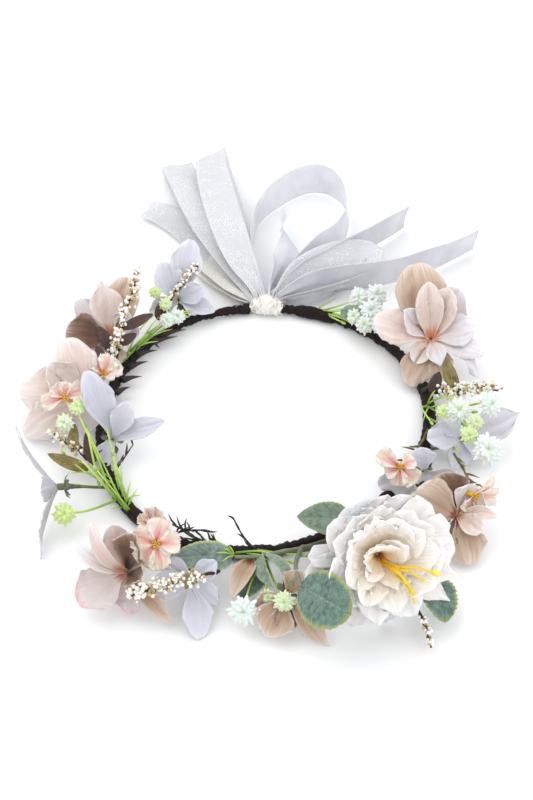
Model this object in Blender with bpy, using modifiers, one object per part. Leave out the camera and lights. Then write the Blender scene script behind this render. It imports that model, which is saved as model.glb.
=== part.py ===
"""Silk flower crown with a ribbon bow.

A dark paper-taped wire hoop carries wired silk blooms, leaves, berry sprays and daisy picks.
Two ribbons pass through the wire's end eyes and are tied in a bow at the back (+Y).
The origin is the centre of the hoop on the plane that the crown rests on, with +Z up.
"""

import math

import bmesh
import bpy
from mathutils import Matrix, Vector

# ---- Driving dimensions, in millimetres and degrees ----
MM = 0.001
CLEAR = 0.35  # running gap between pieces that touch
HOOP_R = 90.6  # mean radius of the hoop's centre line
HOOP_Z = 3.6  # height of the hoop's centre line
HOOP_START, HOOP_END = 80.0, -258.0  # where the paper tape begins and ends
HOOP_STEPS = 38
WIRE_R = 0.7
TAPE_BORE = 1.3
TAPE_R = 2.7
COLLAR_BORE = 3.15
COLLAR_R = 3.9
COLLAR_SPAN = 7.0  # half the angle that a collar covers
EYE_R = 2.2
RIBBON_THICK = 0.5
PETAL_THICK = 0.8
THROAT_R = 2.0  # radius of the small disc that joins a whorl's petals
WIDEST_RIM_SPAN = 70.0  # widest angle that one straight stretch of that disc's rim covers
STEM_R = 0.9
CALYX_R = 2.3

# name of each collar and its angle round the hoop
COLLARS = {"tape_collar_back": 70, "tape_collar_right": 3, "tape_collar_front": -95, "tape_collar_left": -135}

# ---- Colours ----
TAPE_BROWN = (0.035, 0.018, 0.012)
WIRE_GREY = (0.30, 0.30, 0.31)
PEACH = (0.80, 0.66, 0.57)
LILAC_WHITE = (0.82, 0.82, 0.88)
PINK = (0.86, 0.62, 0.56)
IVORY = (0.90, 0.87, 0.82)
STAMEN_YELLOW = (0.85, 0.62, 0.08)
SAGE = (0.30, 0.42, 0.34)
LIME = (0.50, 0.68, 0.16)
OLIVE = (0.20, 0.22, 0.10)
BERRY_WHITE = (0.86, 0.84, 0.74)
DAISY_WHITE = (0.85, 0.90, 0.86)
RIBBON_WHITE = (0.84, 0.84, 0.88)

# ---- Kinds of bloom: colour of the silk, and how far its petals curl in ----
BLOOM_KINDS = {"magnolia": (PEACH, 16), "lily": (LILAC_WHITE, 18), "blossom": (PINK, 10)}

# ---- Blooms ----
# name: throat (x, y, z), facing (heading, rise), hoop angle of the stem's root, tip roundness,
# and the petals as (turn about the facing, opening from it, length, width).
BLOOMS = {
    "magnolia_1": ((95, 47, 20), (-95, 65), 24, 0.40, [
        (-118, 73, 30, 24), (-78, 67, 43, 28), (-15, 72, 33, 25), (66, 100, 22, 20), (145, 105, 32, 16)]),
    "magnolia_2": ((103, -77, 20), (-69, 42), -41, 0.40, [
        (-134, 78, 16, 18), (-81, 105, 18, 20), (-33, 90, 20, 20), (55, 76, 18, 16), (100, 70, 20, 16)]),
    "magnolia_3": ((-68, -114, 16), (-122, 67), -123, 0.35, [
        (-60, 62, 24, 20), (-15, 50, 32, 18), (50, 78, 27, 26), (115, 98, 19, 18), (158, 104, 34, 14)]),
    "magnolia_4": ((-101, 4, 17), (-73, 56), 173, 0.40, [
        (-110, 90, 20, 20), (-70, 70, 32, 24), (-15, 86, 33, 28), (30, 98, 34, 20)]),
    "magnolia_5": ((-88, 54, 17), (-71, 67), 147, 0.35, [
        (-125, 74, 33, 20), (-75, 66, 30, 22), (-20, 80, 22, 22), (45, 98, 16, 16)]),
    "magnolia_6": ((12, -129, 16), (-90, 41), -84, 0.30, [
        (-6, 92, 22, 18), (45, 78, 20, 20), (90, 64, 20, 22), (135, 80, 30, 16)]),
    "lily_1": ((-49, 87, 14), (-81, 55), 118, 0.25, [
        (-150, 70, 17, 13), (-109, 84, 35, 18), (-66, 80, 24, 17)]),
    "lily_2": ((-82, -20, 13), (-63, 64), -167, 0.25, [
        (-136, 56, 23, 12), (-86, 65, 38, 16), (173, 65, 28, 12)]),
    "lily_3": ((-110, -60, 18), (-174, 0), -149, 0.25, [
        (-40, 59, 38, 15), (30, 63, 17, 15), (-134, 57, 16, 15), (153, 73, 36, 15)]),
    "lily_4": ((-33, -120, 14), (-62, 49), -105, 0.30, [
        (-30, 96, 16, 14), (74, 76, 28, 16), (120, 79, 17, 12)]),
    "lily_5": ((109, -22, 14), (-41, 60), -13, 0.20, [
        (-50, 96, 17, 16), (100, 80, 16, 14), (162, 60, 33, 18)]),
    "lily_6": ((85, -45, 13), (-78, 28), -29, 0.30, [
        (12, 92, 20, 16), (81, 68, 15, 14)]),
    "blossom_1": ((-53, -108, 31), (-90, 47), -116, 0.60, [
        (-173, 83, 10, 11), (-101, 85, 11, 12), (-28, 84, 10, 12), (44, 85, 11, 12), (116, 85, 10, 11)]),
    "blossom_2": ((72, -48, 24), (-133, 62), -31, 0.60, [
        (-101, 80, 8, 9), (-25, 80, 9, 10), (48, 80, 8, 10), (120, 80, 9, 9), (-168, 80, 9, 10)]),
    "blossom_3": ((112, -72, 30), (-43, 60), -40, 0.60, [
        (-112, 80, 8, 9), (-40, 80, 9, 9), (32, 80, 9, 10), (104, 75, 10, 9), (176, 70, 11, 10)]),
    "blossom_4": ((-107, -12, 34), (-57, 70), -177, 0.60, [
        (-137, 74, 9, 9), (-65, 80, 9, 9), (7, 82, 11, 9), (79, 80, 9, 9), (151, 76, 9, 10)]),
    "blossom_5": ((-84, 17, 27), (-25, 67), 168, 0.60, [
        (-165, 70, 10, 10), (-93, 74, 8, 9), (-21, 80, 7, 8), (51, 78, 8, 9), (123, 72, 8, 9)]),
}
INNER_MAGNOLIA_PETALS = [
    (-162, 55, 22, 15), (-84, 42, 28, 17), (-20, 42, 24, 15), (60, 56, 16, 13), (120, 60, 20, 12)]

# The ivory peony: one throat, three whorls of (count, first turn, opening, length, width, lift).
PEONY_THROAT = (56, -121, 41)
PEONY_FACING = (-76, 34)
PEONY_ROOT = -64
PEONY_TIP, PEONY_CURL, PEONY_CUP = 0.62, -12, 0.1
PEONY_DISC_R = 3.2
PEONY_BACK = 4.4  # from the throat back to the end of the stem
STAMEN_COUNT, STAMEN_FOOT_R, STAMEN_LENGTH, STAMEN_SPREAD = 5, 2.8, 18, 8
STAMEN_LIFT = 6.2
PEONY_WHORLS = {
    "peony_outer_petals": (8, 12, 94, 37, 27, -3.0),
    "peony_middle_petals": (7, 30, 68, 34, 24, 0.0),
    "peony_inner_petals": (5, 0, 42, 27, 18, 2.6),
}

# ---- Ribbon pieces ----
# name: the centre line's points, the width at the knot and beyond it, and how far the band leans
# back from upright (0 stands on its edge, 90 lies flat).
RIBBONS = {
    "bow_loop_right": ([(-1, 101, 9), (-3, 113, 11), (-4, 141, 11), (2, 172, 11), (14, 188, 11),
                        (30, 198, 11), (42, 196, 11), (50, 182, 11), (52, 164, 11), (45, 149, 11),
                        (32, 135, 11), (20, 118, 10), (10, 102, 8)], 7, 19, 0),
    "bow_loop_left_outer": ([(-6, 97, 9), (-22, 127, 15), (-37, 161, 15), (-49, 195, 13), (-56, 219, 10),
                             (-55, 224, 8), (-49, 216, 6), (-42, 191, 6), (-32, 161, 6), (-20, 132, 6),
                             (-8, 102, 6)], 4, 19, 90),
    "bow_loop_left_inner": ([(-5, 100, 15), (-14, 116, 22), (-21, 154, 25), (-31, 196, 21),
                             (-36, 226, 15), (-35, 230, 13), (-31, 222, 11.5), (-27, 196, 13),
                             (-19, 156, 18.5), (-15, 122, 17), (-6.5, 101.5, 13)], 4, 19, 90),
    "ribbon_tail_left": ([(-9, 97, 3.2), (-18, 118, 2.6), (-31, 141, 2.4), (-46, 163, 2.4), (-59, 174, 2.4),
                          (-71, 180, 2.4)], 5, 17, 90),
    "ribbon_tail_short": ([(4, 101, 12), (9, 111, 14), (14, 131, 14), (13, 156, 13), (14, 164, 13)], 5, 9, 0),
    "ribbon_tail_upper": ([(13, 99, 9), (25, 109, 12), (38, 120, 12), (51, 131, 12), (69, 146, 12),
                           (88, 162, 11)], 7, 18, 0),
    "ribbon_tail_lower": ([(14.2, 94.9, 9), (29, 101, 11), (46, 107, 11), (65, 111, 11), (83, 116, 11),
                           (98, 123, 11), (114, 132, 11), (129, 142, 11)], 7, 18, 0),
}
KNOT_AT = (2.0, 93.5, 8.5)
KNOT_SIZE = (8.0, 6.0, 6.5)

# ---- Leaves: base, tip, the direction its face looks to, width, and whether the edge is toothed ----
SAGE_LEAVES = {
    "sage_leaf_1": ((-15, -103, 14), (-46, -107, 19), (-10, -50, 80), 15, True),
    "sage_leaf_2": ((46, -86, 13), (20, -78, 18), (0, -40, 80), 16, True),
    "sage_leaf_3": ((5, -108, 23), (20, -142, 29), (-26, -60, 60), 19, True),
    "sage_leaf_4": ((88, -122, 10), (98, -143, 10), (30, -60, 60), 17, True),
}

# ---- Berry sprays: stem points, and how many berries it carries ----
BERRY_SPRAYS = {
    "berry_spray_1": ([(-83, 40, 8), (-78, 47, 17), (-71, 57, 26), (-66, 70, 32), (-63, 86, 38)], 9),
    "berry_spray_2": ([(96, 22, 8), (103, 14, 13), (111, 9, 18), (120, 7, 22), (129, 3, 24)], 8),
    "berry_spray_3": ([(-43, -92, 7), (-45, -102, 6), (-43, -112, 6), (-45, -122, 5), (-44, -131, 5)], 6),
    "berry_spray_4": ([(77, -136, 11), (79, -141, 9), (82, -148, 7), (84, -154, 6)], 5),
}

# ---- Daisy picks: main stem points, then each branch as (share along the stem, head position) ----
DAISY_PICKS = {
    "daisy_pick_1": ([(43, 86, 7), (50, 83, 12), (57, 80, 18)],
                     [(0.5, (58, 69, 17)), (1.0, (62, 79, 25))]),
    "daisy_pick_2": ([(97, 0, 8), (104, -3, 18), (112, -7, 27)],
                     [(0.5, (106, -16, 32)), (1.0, (123, -5, 33))]),
    "daisy_pick_3": ([(-77, -60, 8), (-86, -54, 13), (-96, -48, 15)],
                     [(0.45, (-97, -36, 26)), (1.0, (-106, -42, 14))]),
}

# ---- Pieces that a hand bends: hinge point and the pieces it carries ----
PIVOTS = {
    "pivot_tail_left": ((-9, 97, 3.2), ["ribbon_tail_left"]),
    "pivot_tail_short": ((4, 101, 12), ["ribbon_tail_short"]),
    "pivot_tail_upper": ((13, 99, 9), ["ribbon_tail_upper"]),
    "pivot_tail_lower": ((14.2, 94.9, 9), ["ribbon_tail_lower"]),
    "pivot_lily_3": ((-80, -49, 6), ["lily_3_petals", "lily_3_stem"]),
    "pivot_berry_spray_4": ((77, -136, 11), ["berry_spray_4"]),
    "pivot_daisy_pick_2": ((97, 0, 8), ["daisy_pick_2"]),
    "pivot_sage_leaf_2": ((46, -86, 13), ["sage_leaf_2"]),
}


# ---- Scene and material helpers ----
def clear_scene():
    """Leave nothing of the start-up scene."""
    for obj in list(bpy.data.objects):
        bpy.data.objects.remove(obj)


def new_collection(name):
    """A collection in the scene's master collection."""
    collection = bpy.data.collections.new(name)
    bpy.context.scene.collection.children.link(collection)
    return collection


def plain(name, colour, roughness=0.7, metallic=0.0):
    """A Principled material of one colour."""
    material = bpy.data.materials.new(name)
    material.use_nodes = True
    shader = material.node_tree.nodes["Principled BSDF"]
    shader.inputs["Base Color"].default_value = (*colour, 1)
    shader.inputs["Roughness"].default_value = roughness
    shader.inputs["Metallic"].default_value = metallic
    material.diffuse_color = (*colour, 1)
    return material


def add_mesh(name, verts, faces, material, collection):
    """An object from vertices in millimetres and faces, shaded smooth where it is round."""
    data = bpy.data.meshes.new(name)
    data.from_pydata([Vector(v) * MM for v in verts], [], faces)
    data.validate()
    obj = bpy.data.objects.new(name, data)
    collection.objects.link(obj)
    data.materials.append(material)
    data.shade_smooth()
    data.set_sharp_from_angle(angle=math.radians(35))
    return obj


def solidify(obj, thickness):
    """Give an open surface a thickness, centred on it, in millimetres."""
    modifier = obj.modifiers.new("thickness", "SOLIDIFY")
    modifier.thickness = thickness * MM
    modifier.offset = 0.0
    modifier.use_even_offset = False
    return obj


# ---- Geometry helpers ----
def heading_vector(heading, rise):
    """A unit vector from its compass heading, measured from +X, and its rise above level."""
    h, r = math.radians(heading), math.radians(rise)
    return Vector((math.cos(h) * math.cos(r), math.sin(h) * math.cos(r), math.sin(r)))


def facing_matrix(facing):
    """Rotation whose Z is the facing and whose X is level."""
    axis = heading_vector(*facing)
    across = axis.cross(Vector((0, 0, 1))).normalized()
    return Matrix((across, axis.cross(across), axis)).transposed()


def hoop_radius(angle):
    """The hoop is a hand-bent ring, a little out of round."""
    a = math.radians(angle)
    return HOOP_R + 3.2 * math.sin(2 * a) + 1.9 * math.cos(3 * a) + 0.7 * math.sin(3 * a)


def hoop_point(angle, out=0.0, up=0.0):
    """A point beside the hoop's centre line: outward in its plane, and up."""
    a = math.radians(angle)
    r = hoop_radius(angle) + out
    return Vector((r * math.cos(a), r * math.sin(a), HOOP_Z + up))


def smooth_path(points, steps):
    """Points along a Catmull-Rom curve through the given ones."""
    p = [Vector(q) for q in points]
    p = [p[0] * 2 - p[1]] + p + [p[-1] * 2 - p[-2]]
    path = []
    for k in range(steps + 1):
        s = k / steps * (len(points) - 1)
        i = min(int(s), len(points) - 2)
        t = s - i
        a, b, c, d = p[i:i + 4]
        path.append(0.5 * (2 * b + (c - a) * t + (2 * a - 5 * b + 4 * c - d) * t * t
                           + (3 * b - a - 3 * c + d) * t ** 3))
    return path


def bezier(p0, p1, p2, p3, t):
    """A point on a cubic Bezier curve."""
    u = 1 - t
    return p0 * u ** 3 + p1 * 3 * u * u * t + p2 * 3 * u * t * t + p3 * t ** 3


def eased(value, low, high):
    """0 below low, 1 above high, and a smooth rise between."""
    t = min(1.0, max(0.0, (value - low) / (high - low)))
    return t * t * (3 - 2 * t)


# ---- Hoop ----
def hoop_sleeve(name, first, last, steps, bore, radius, material, collection):
    """An eight-sided sleeve round the hoop, open at both ends, with a level underside."""
    verts, faces = [], []
    sides = 8
    for k in range(steps + 1):
        angle = first + (last - first) * k / steps
        for r in (radius, bore):
            for j in range(sides):
                a = math.radians((j + 0.5) * 360 / sides)
                verts.append(hoop_point(angle, r * math.cos(a), r * math.sin(a)))
    ring = 2 * sides
    for k in range(steps):
        for j in range(sides):
            n = (j + 1) % sides
            o = k * ring
            faces.append((o + j, o + n, o + ring + n, o + ring + j))
            faces.append((o + sides + n, o + sides + j, o + ring + sides + j, o + ring + sides + n))
    for o, flip in ((0, True), (steps * ring, False)):
        for j in range(sides):
            n = (j + 1) % sides
            face = (o + j, o + n, o + sides + n, o + sides + j)
            faces.append(face if flip else face[::-1])
    obj = add_mesh(name, verts, faces, material, collection)
    face_outward(obj)
    return obj


def face_outward(obj):
    """Turn every face of a closed mesh to look outward."""
    mesh = bmesh.new()
    mesh.from_mesh(obj.data)
    bmesh.ops.recalc_face_normals(mesh, faces=mesh.faces)
    mesh.to_mesh(obj.data)
    mesh.free()


def rod(name, points, radii, material, collection, sides_level=1):
    """A round rod along points, in millimetres, with a radius at each point and closed ends."""
    data = bpy.data.curves.new(name, "CURVE")
    data.dimensions = "3D"
    data.bevel_depth = MM
    data.bevel_resolution = sides_level
    data.use_fill_caps = True
    data.render_resolution_u = 0
    spline = data.splines.new("POLY")
    spline.points.add(len(points) - 1)
    for point, place, r in zip(spline.points, points, radii):
        point.co = (*(Vector(place) * MM), 1)
        point.radius = r
    obj = bpy.data.objects.new(name, data)
    collection.objects.link(obj)
    data.materials.append(material)
    return obj


def hoop_wire(material, collection):
    """The steel wire inside the tape, with an eye turned up at each end for the ribbon."""
    points = []
    for angle, turn in ((HOOP_START + 3.1, -1), (HOOP_END - 3.4, 1)):
        foot = hoop_point(angle)
        a = math.radians(angle)
        along = Vector((-math.sin(a), math.cos(a), 0)) * -turn
        eye = [foot + along * (EYE_R * math.sin(b)) + Vector((0, 0, EYE_R * (1 - math.cos(b))))
               for b in (math.radians(d) for d in range(0, 301, 50))]
        points.append(eye[::-1] if turn < 0 else eye)
    steps = HOOP_STEPS
    first, last = HOOP_START + 1.6, HOOP_END - 1.4
    arc = [hoop_point(first + (last - first) * k / steps) for k in range(steps + 1)]
    path = points[0] + arc + points[1]
    return rod("hoop_wire", path, [WIRE_R] * len(path), material, collection)


def tape_collar(name, angle, material, collection):
    """A thick turn of paper tape where stems are bound on. The crown rests on its flat foot."""
    return hoop_sleeve(name, angle - COLLAR_SPAN, angle + COLLAR_SPAN, 4, COLLAR_BORE, COLLAR_R,
                       material, collection)


# ---- Blooms ----
def petal_width(share, tip):
    """Width of a petal at a share of its length, from its narrow claw to a tip of the given roundness."""
    belly = math.sin(math.pi * (0.10 + 0.62 * share)) ** 1.2
    return belly * (1 - (1 - tip) * eased(share, 0.62, 1.0))


def whorl(name, petals, tip, lift, material, collection, curl=16.0, cup=0.20, throat=THROAT_R):
    """One die-cut layer of petals round a small disc, in the flower's own frame (+Z is its facing)."""
    petals = sorted(petals)
    count = len(petals)
    columns = (-1.0, -0.36, 0.36, 1.0)
    shares = (0.55, 1.0) if max(p[2] for p in petals) < 15 else (0.4, 0.74, 1.0)
    verts, faces = [(0, 0, lift)], []
    turns = [p[0] for p in petals]
    gaps = [(turns[(k + 1) % count] - turns[k]) % 360 for k in range(count)]
    halves = [min(gaps[k], gaps[k - 1], 90) * 0.44 for k in range(count)]
    ring = []
    for k, (turn, opening, length, width) in enumerate(petals):
        half = halves[k]
        rim = [rim_point(verts, turn + v * half, throat, lift) for v in columns]
        ring += rim
        gap = gaps[k] - half - halves[(k + 1) % count]
        spans = math.ceil(gap / WIDEST_RIM_SPAN)
        ring += [rim_point(verts, turn + half + gap * i / spans, throat, lift) for i in range(1, spans)]
        rows = [rim] + petal_rows(verts, turn, opening, length, width, half, columns, shares,
                                  tip, lift, curl, cup, throat)
        for a, b in zip(rows, rows[1:]):
            for j in range(3):
                faces.append((a[j], b[j], b[j + 1], a[j + 1]))
    for k, v in enumerate(ring):
        faces.append((0, v, ring[(k + 1) % len(ring)]))
    obj = add_mesh(name, verts, faces, material, collection)
    solidify(obj, PETAL_THICK)
    return obj


def rim_point(verts, angle, radius, lift):
    """Add a point on the rim of a whorl's disc, and return its number."""
    a = math.radians(angle)
    verts.append((radius * math.cos(a), radius * math.sin(a), lift))
    return len(verts) - 1


def petal_rows(verts, turn, opening, length, width, half, columns, shares, tip, lift, curl, cup, throat):
    """Add a petal's rows of points beyond the disc, and return their numbers."""
    t, o = math.radians(turn), math.radians(opening)
    out = Vector((math.cos(t), math.sin(t), 0))
    side = Vector((-math.sin(t), math.cos(t), 0))
    along = out * math.sin(o) + Vector((0, 0, math.cos(o)))
    inward = Vector((0, 0, math.sin(o))) - out * math.cos(o)
    start = out * throat
    c = math.radians(curl)
    middle = start + (along * math.cos(c) + inward * math.sin(c)) * (0.5 * length)
    end = along * length
    rows = []
    for share in shares:
        centre = start * (1 - share) ** 2 + middle * 2 * share * (1 - share) + end * share ** 2
        reach = max(centre.dot(out), 0.6 * centre.length)
        half_width = min(width / 2 * petal_width(share, tip), reach * math.tan(math.radians(half)) * 0.92)
        row = []
        for v in columns:
            point = centre + side * (v * half_width) + inward * (cup * half_width * v * v)
            row.append(len(verts))
            verts.append(point + Vector((0, 0, lift)))
        rows.append(row)
    return rows


def place(obj, at, facing):
    """Stand an object made in a flower's own frame at its throat."""
    obj.location = Vector(at) * MM
    obj.rotation_euler = facing_matrix(facing).to_euler()
    return obj


def bloom_stem(name, at, facing, root, material, collection, back=1.4):
    """A wired stem from the hoop to a calyx that cups the back of the bloom."""
    axis = heading_vector(*facing)
    top = Vector(at) - axis * back
    centre = hoop_point(root)
    toward = top - axis * 6 - centre
    a = math.radians(root)
    along = Vector((-math.sin(a), math.cos(a), 0))
    toward -= along * toward.dot(along)
    toward.normalize()
    start = centre + toward * (TAPE_R + STEM_R * 0.3 + CLEAR)
    reach = (top - start).length
    low, high = start + toward * reach * 0.35, top - axis * reach * 0.45
    path = [bezier(start, low, high, top, k / 7) for k in range(8)]
    radii = [STEM_R + (CALYX_R - STEM_R) * eased(k / 7, 0.5, 1.0) for k in range(8)]
    return rod(name, path, radii, material, collection)


def peony_stamens(material, collection):
    """The yellow stamens: filaments fused at their foot."""
    foot = bmesh.new()
    bmesh.ops.create_cone(foot, cap_ends=True, segments=10, radius1=STAMEN_FOOT_R * MM,
                          radius2=0.86 * STAMEN_FOOT_R * MM, depth=5 * MM)
    base = object_of("peony_stamens", foot, material, collection)
    threads = bmesh.new()
    for k in range(STAMEN_COUNT):
        a = 2 * math.pi * k / STAMEN_COUNT
        out = Vector((math.cos(a), math.sin(a), 0))
        low, high = out * 1.5 + Vector((0, 0, 0.5)), out * STAMEN_SPREAD + Vector((0, 0, STAMEN_LENGTH))
        add_rod(threads, [low, low.lerp(high, 0.5), high], [0.6, 0.6, 0.9], 5)
    cutter = object_of("stamen_threads", threads, material, CUTTERS)
    cutter.parent = base
    return join(base, cutter)


# ---- Small solids joined by union ----
def object_of(name, mesh, material, collection):
    """Turn a bmesh into a named object."""
    data = bpy.data.meshes.new(name)
    bmesh.ops.recalc_face_normals(mesh, faces=mesh.faces)
    mesh.to_mesh(data)
    mesh.free()
    obj = bpy.data.objects.new(name, data)
    collection.objects.link(obj)
    data.materials.append(material)
    data.shade_smooth()
    data.set_sharp_from_angle(angle=math.radians(35))
    return obj


def join(obj, cutter):
    """Union the cutter's shapes onto the object."""
    cutter.hide_render = True
    cutter.display_type = "WIRE"
    modifier = obj.modifiers.new("join_" + cutter.name, "BOOLEAN")
    modifier.operation = "UNION"
    modifier.solver = "EXACT"
    modifier.use_self = True
    modifier.object = cutter
    return obj


def add_rod(mesh, points, radii, sides=6):
    """Add a closed round rod to a bmesh: rings square to the path, and a cap at each end."""
    rings = []
    lean = Vector((0.3, 0.2, 1)).normalized()
    for k, centre in enumerate(points):
        tangent = (Vector(points[min(k + 1, len(points) - 1)]) - Vector(points[max(k - 1, 0)])).normalized()
        across = tangent.cross(lean).normalized()
        rise = across.cross(tangent)
        ring = []
        for j in range(sides):
            a = 2 * math.pi * j / sides
            offset = (across * math.cos(a) + rise * math.sin(a)) * radii[k]
            ring.append(mesh.verts.new((Vector(centre) + offset) * MM))
        rings.append(ring)
    for a, b in zip(rings, rings[1:]):
        for j in range(sides):
            n = (j + 1) % sides
            mesh.faces.new((a[j], a[n], b[n], b[j]))
    mesh.faces.new(rings[0][::-1])
    mesh.faces.new(rings[-1])


def berry_spray(name, points, count, material, collection):
    """A wired stem with berries set round it, moulded in one piece."""
    path = smooth_path(points, 8)
    stem = bmesh.new()
    add_rod(stem, path, [0.9] * 7 + [0.8, 0.6])
    obj = object_of(name, stem, material, collection)
    berries = bmesh.new()
    for k in range(count):
        share = 0.36 + 0.62 * k / (count - 1)
        s = share * 8
        i = min(int(s), 7)
        centre = path[i].lerp(path[i + 1], s - i)
        tangent = (path[i + 1] - path[i]).normalized()
        across = tangent.cross(Vector((0, 0, 1))).normalized()
        rise = across.cross(tangent)
        turn = math.radians(137.5 * k)
        radius = 2.3 - 0.7 * share
        offset = (across * math.cos(turn) + rise * math.sin(turn)) * (radius * 0.95)
        matrix = Matrix.Translation((centre + offset) * MM)
        bmesh.ops.create_uvsphere(berries, u_segments=6, v_segments=4, radius=radius * MM, matrix=matrix)
    join(obj, object_of(name + "_berries", berries, material, CUTTERS))
    return obj


def star_head(mesh, centre, toward, radius, rays=9):
    """Add a daisy head to a bmesh: a shallow star of blunt rays, domed in front."""
    basis = facing_matrix((math.degrees(math.atan2(toward.y, toward.x)), math.degrees(math.asin(toward.z))))
    front = mesh.verts.new((Vector(centre) + basis @ Vector((0, 0, 1.6))) * MM)
    back = mesh.verts.new((Vector(centre) + basis @ Vector((0, 0, -1.6))) * MM)
    rim = []
    for k in range(2 * rays):
        a = math.pi * k / rays
        r = radius if k % 2 == 0 else radius * 0.5
        offset = basis @ Vector((r * math.cos(a), r * math.sin(a), 0))
        rim.append(mesh.verts.new((Vector(centre) + offset) * MM))
    for k, v in enumerate(rim):
        n = rim[(k + 1) % len(rim)]
        mesh.faces.new((front, v, n))
        mesh.faces.new((back, n, v))


def daisy_pick(name, points, branches, material, collection):
    """A moulded plastic pick: a main stem, side stems and a star-shaped daisy on each."""
    path = smooth_path(points, 6)
    stem = bmesh.new()
    add_rod(stem, path, [0.9] * 7)
    obj = object_of(name, stem, material, collection)
    sides, heads = bmesh.new(), bmesh.new()
    for share, head in branches:
        s = share * 6
        i = min(int(s), 5)
        foot = path[i].lerp(path[i + 1], s - i)
        head = Vector(head)
        toward = (head - foot).normalized()
        start = foot - toward * 0.3
        add_rod(sides, [start, start.lerp(head, 0.5) + Vector((0, 0, 0.8)), head], [0.7, 0.65, 0.6])
        star_head(heads, head, toward, 6.5)
    join(obj, object_of(name + "_side_stems", sides, material, CUTTERS))
    join(obj, object_of(name + "_heads", heads, material, CUTTERS))
    return obj


# ---- Leaves ----
def leaf(name, base, tip, face, width, toothed, material, collection):
    """A veined leaf blade from its short stalk to its tip, folded a little along the midrib."""
    base, tip = Vector(base), Vector(tip)
    along = tip - base
    normal = Vector(face).normalized()
    normal = (normal - along * normal.dot(along) / along.length_squared).normalized()
    side = along.normalized().cross(normal)
    verts, faces = [], []
    rows = 12
    for k in range(rows + 1):
        share = k / rows
        belly = math.sin(math.pi * (0.04 + 0.93 * eased(share, 0.0, 1.06))) ** 0.75
        half = width / 2 * max(0.09, belly * eased(share, 0.02, 0.26))
        if toothed and 0.2 < share < 0.98:
            half *= 1.0 + (0.06 if k % 2 else -0.03)
        arch = 4 * share * (1 - share) * along.length * 0.07
        for v in (-1, 0, 1):
            verts.append(base + along * share + side * (v * half) + normal * (arch + 0.16 * half * abs(v)))
    for k in range(rows):
        for j in range(2):
            a = 3 * k + j
            faces.append((a, a + 3, a + 4, a + 1))
    obj = add_mesh(name, verts, faces, material, collection)
    solidify(obj, 0.8)
    return obj


# ---- Ribbons ----
def ribbon(name, points, root_width, width, lean, material, collection):
    """A ribbon band along its centre line, gathered where it enters the knot."""
    steps = 3 * (len(points) - 1)
    path = smooth_path(points, steps)
    is_loop = name.startswith("bow_loop")
    lean = math.radians(lean)
    verts, faces = [], []
    run = 0.0
    total = sum((b - a).length for a, b in zip(path, path[1:]))
    for k, centre in enumerate(path):
        if k:
            run += (centre - path[k - 1]).length
        tangent = (path[min(k + 1, steps)] - path[max(k - 1, 0)]).normalized()
        level = Vector((0, 0, 1)).cross(tangent).normalized()
        if is_loop and lean > 1:
            level = (Vector((path[steps // 2].x, path[steps // 2].y, 0))
                     - Vector((path[0].x, path[0].y, 0))).normalized().cross(Vector((0, 0, 1)))
        across = Vector((0, 0, 1)) * math.cos(lean) + level * math.sin(lean)
        from_knot = min(run, total - run) if is_loop else run
        half = (root_width + (width - root_width) * eased(from_knot, 0, 24)) / 2
        verts += [centre - across * half, centre + across * half]
    for k in range(steps):
        a = 2 * k
        faces.append((a, a + 1, a + 3, a + 2))
    obj = add_mesh(name, verts, faces, material, collection)
    solidify(obj, RIBBON_THICK)
    return obj


def ribbon_knot(material, collection):
    """The knot that binds the two ribbons: a soft lump with gathered folds."""
    mesh = bmesh.new()
    bmesh.ops.create_uvsphere(mesh, u_segments=16, v_segments=10, radius=1.0)
    for v in mesh.verts:
        turn = math.atan2(v.co.y, v.co.x)
        fold = 1 + 0.06 * math.cos(8 * turn) * (1 - v.co.z ** 2)
        size = Vector((KNOT_SIZE[0] * fold, KNOT_SIZE[1] * fold, KNOT_SIZE[2])) * MM
        v.co = v.co * size
    obj = object_of("ribbon_knot", mesh, material, collection)
    obj.location = Vector(KNOT_AT) * MM
    return obj


# ---- Assembly ----
def build_hoop(parts):
    """Wire, paper tape and the binding collars."""
    tape = plain("paper_tape", TAPE_BROWN, 0.85)
    steel = plain("steel_wire", WIRE_GREY, 0.4, 1.0)
    hoop_wire(steel, parts)
    hoop_sleeve("hoop_tape", HOOP_START, HOOP_END, HOOP_STEPS, TAPE_BORE, TAPE_R, tape, parts)
    for name, angle in COLLARS.items():
        tape_collar(name, angle, plain(name + "_tape", TAPE_BROWN, 0.85), parts)


def build_blooms(parts):
    """Every magnolia, lily and small blossom with its stem."""
    for name, (at, facing, root, tip, petals) in BLOOMS.items():
        colour, curl = BLOOM_KINDS[name.split("_")[0]]
        shell = whorl(name + "_petals", petals, tip, 0.0, plain(name + "_silk", colour, 0.8), parts, curl)
        place(shell, at, facing)
        if not name.startswith("blossom"):
            bloom_stem(name + "_stem", at, facing, root, plain(name + "_stem_tape", OLIVE, 0.8), parts)
    at, facing = BLOOMS["magnolia_1"][:2]
    inner = whorl("magnolia_1_inner_petals", INNER_MAGNOLIA_PETALS, 0.35, 1.5,
                  plain("magnolia_1_inner_silk", PEACH, 0.8), parts)
    place(inner, at, facing)


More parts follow.
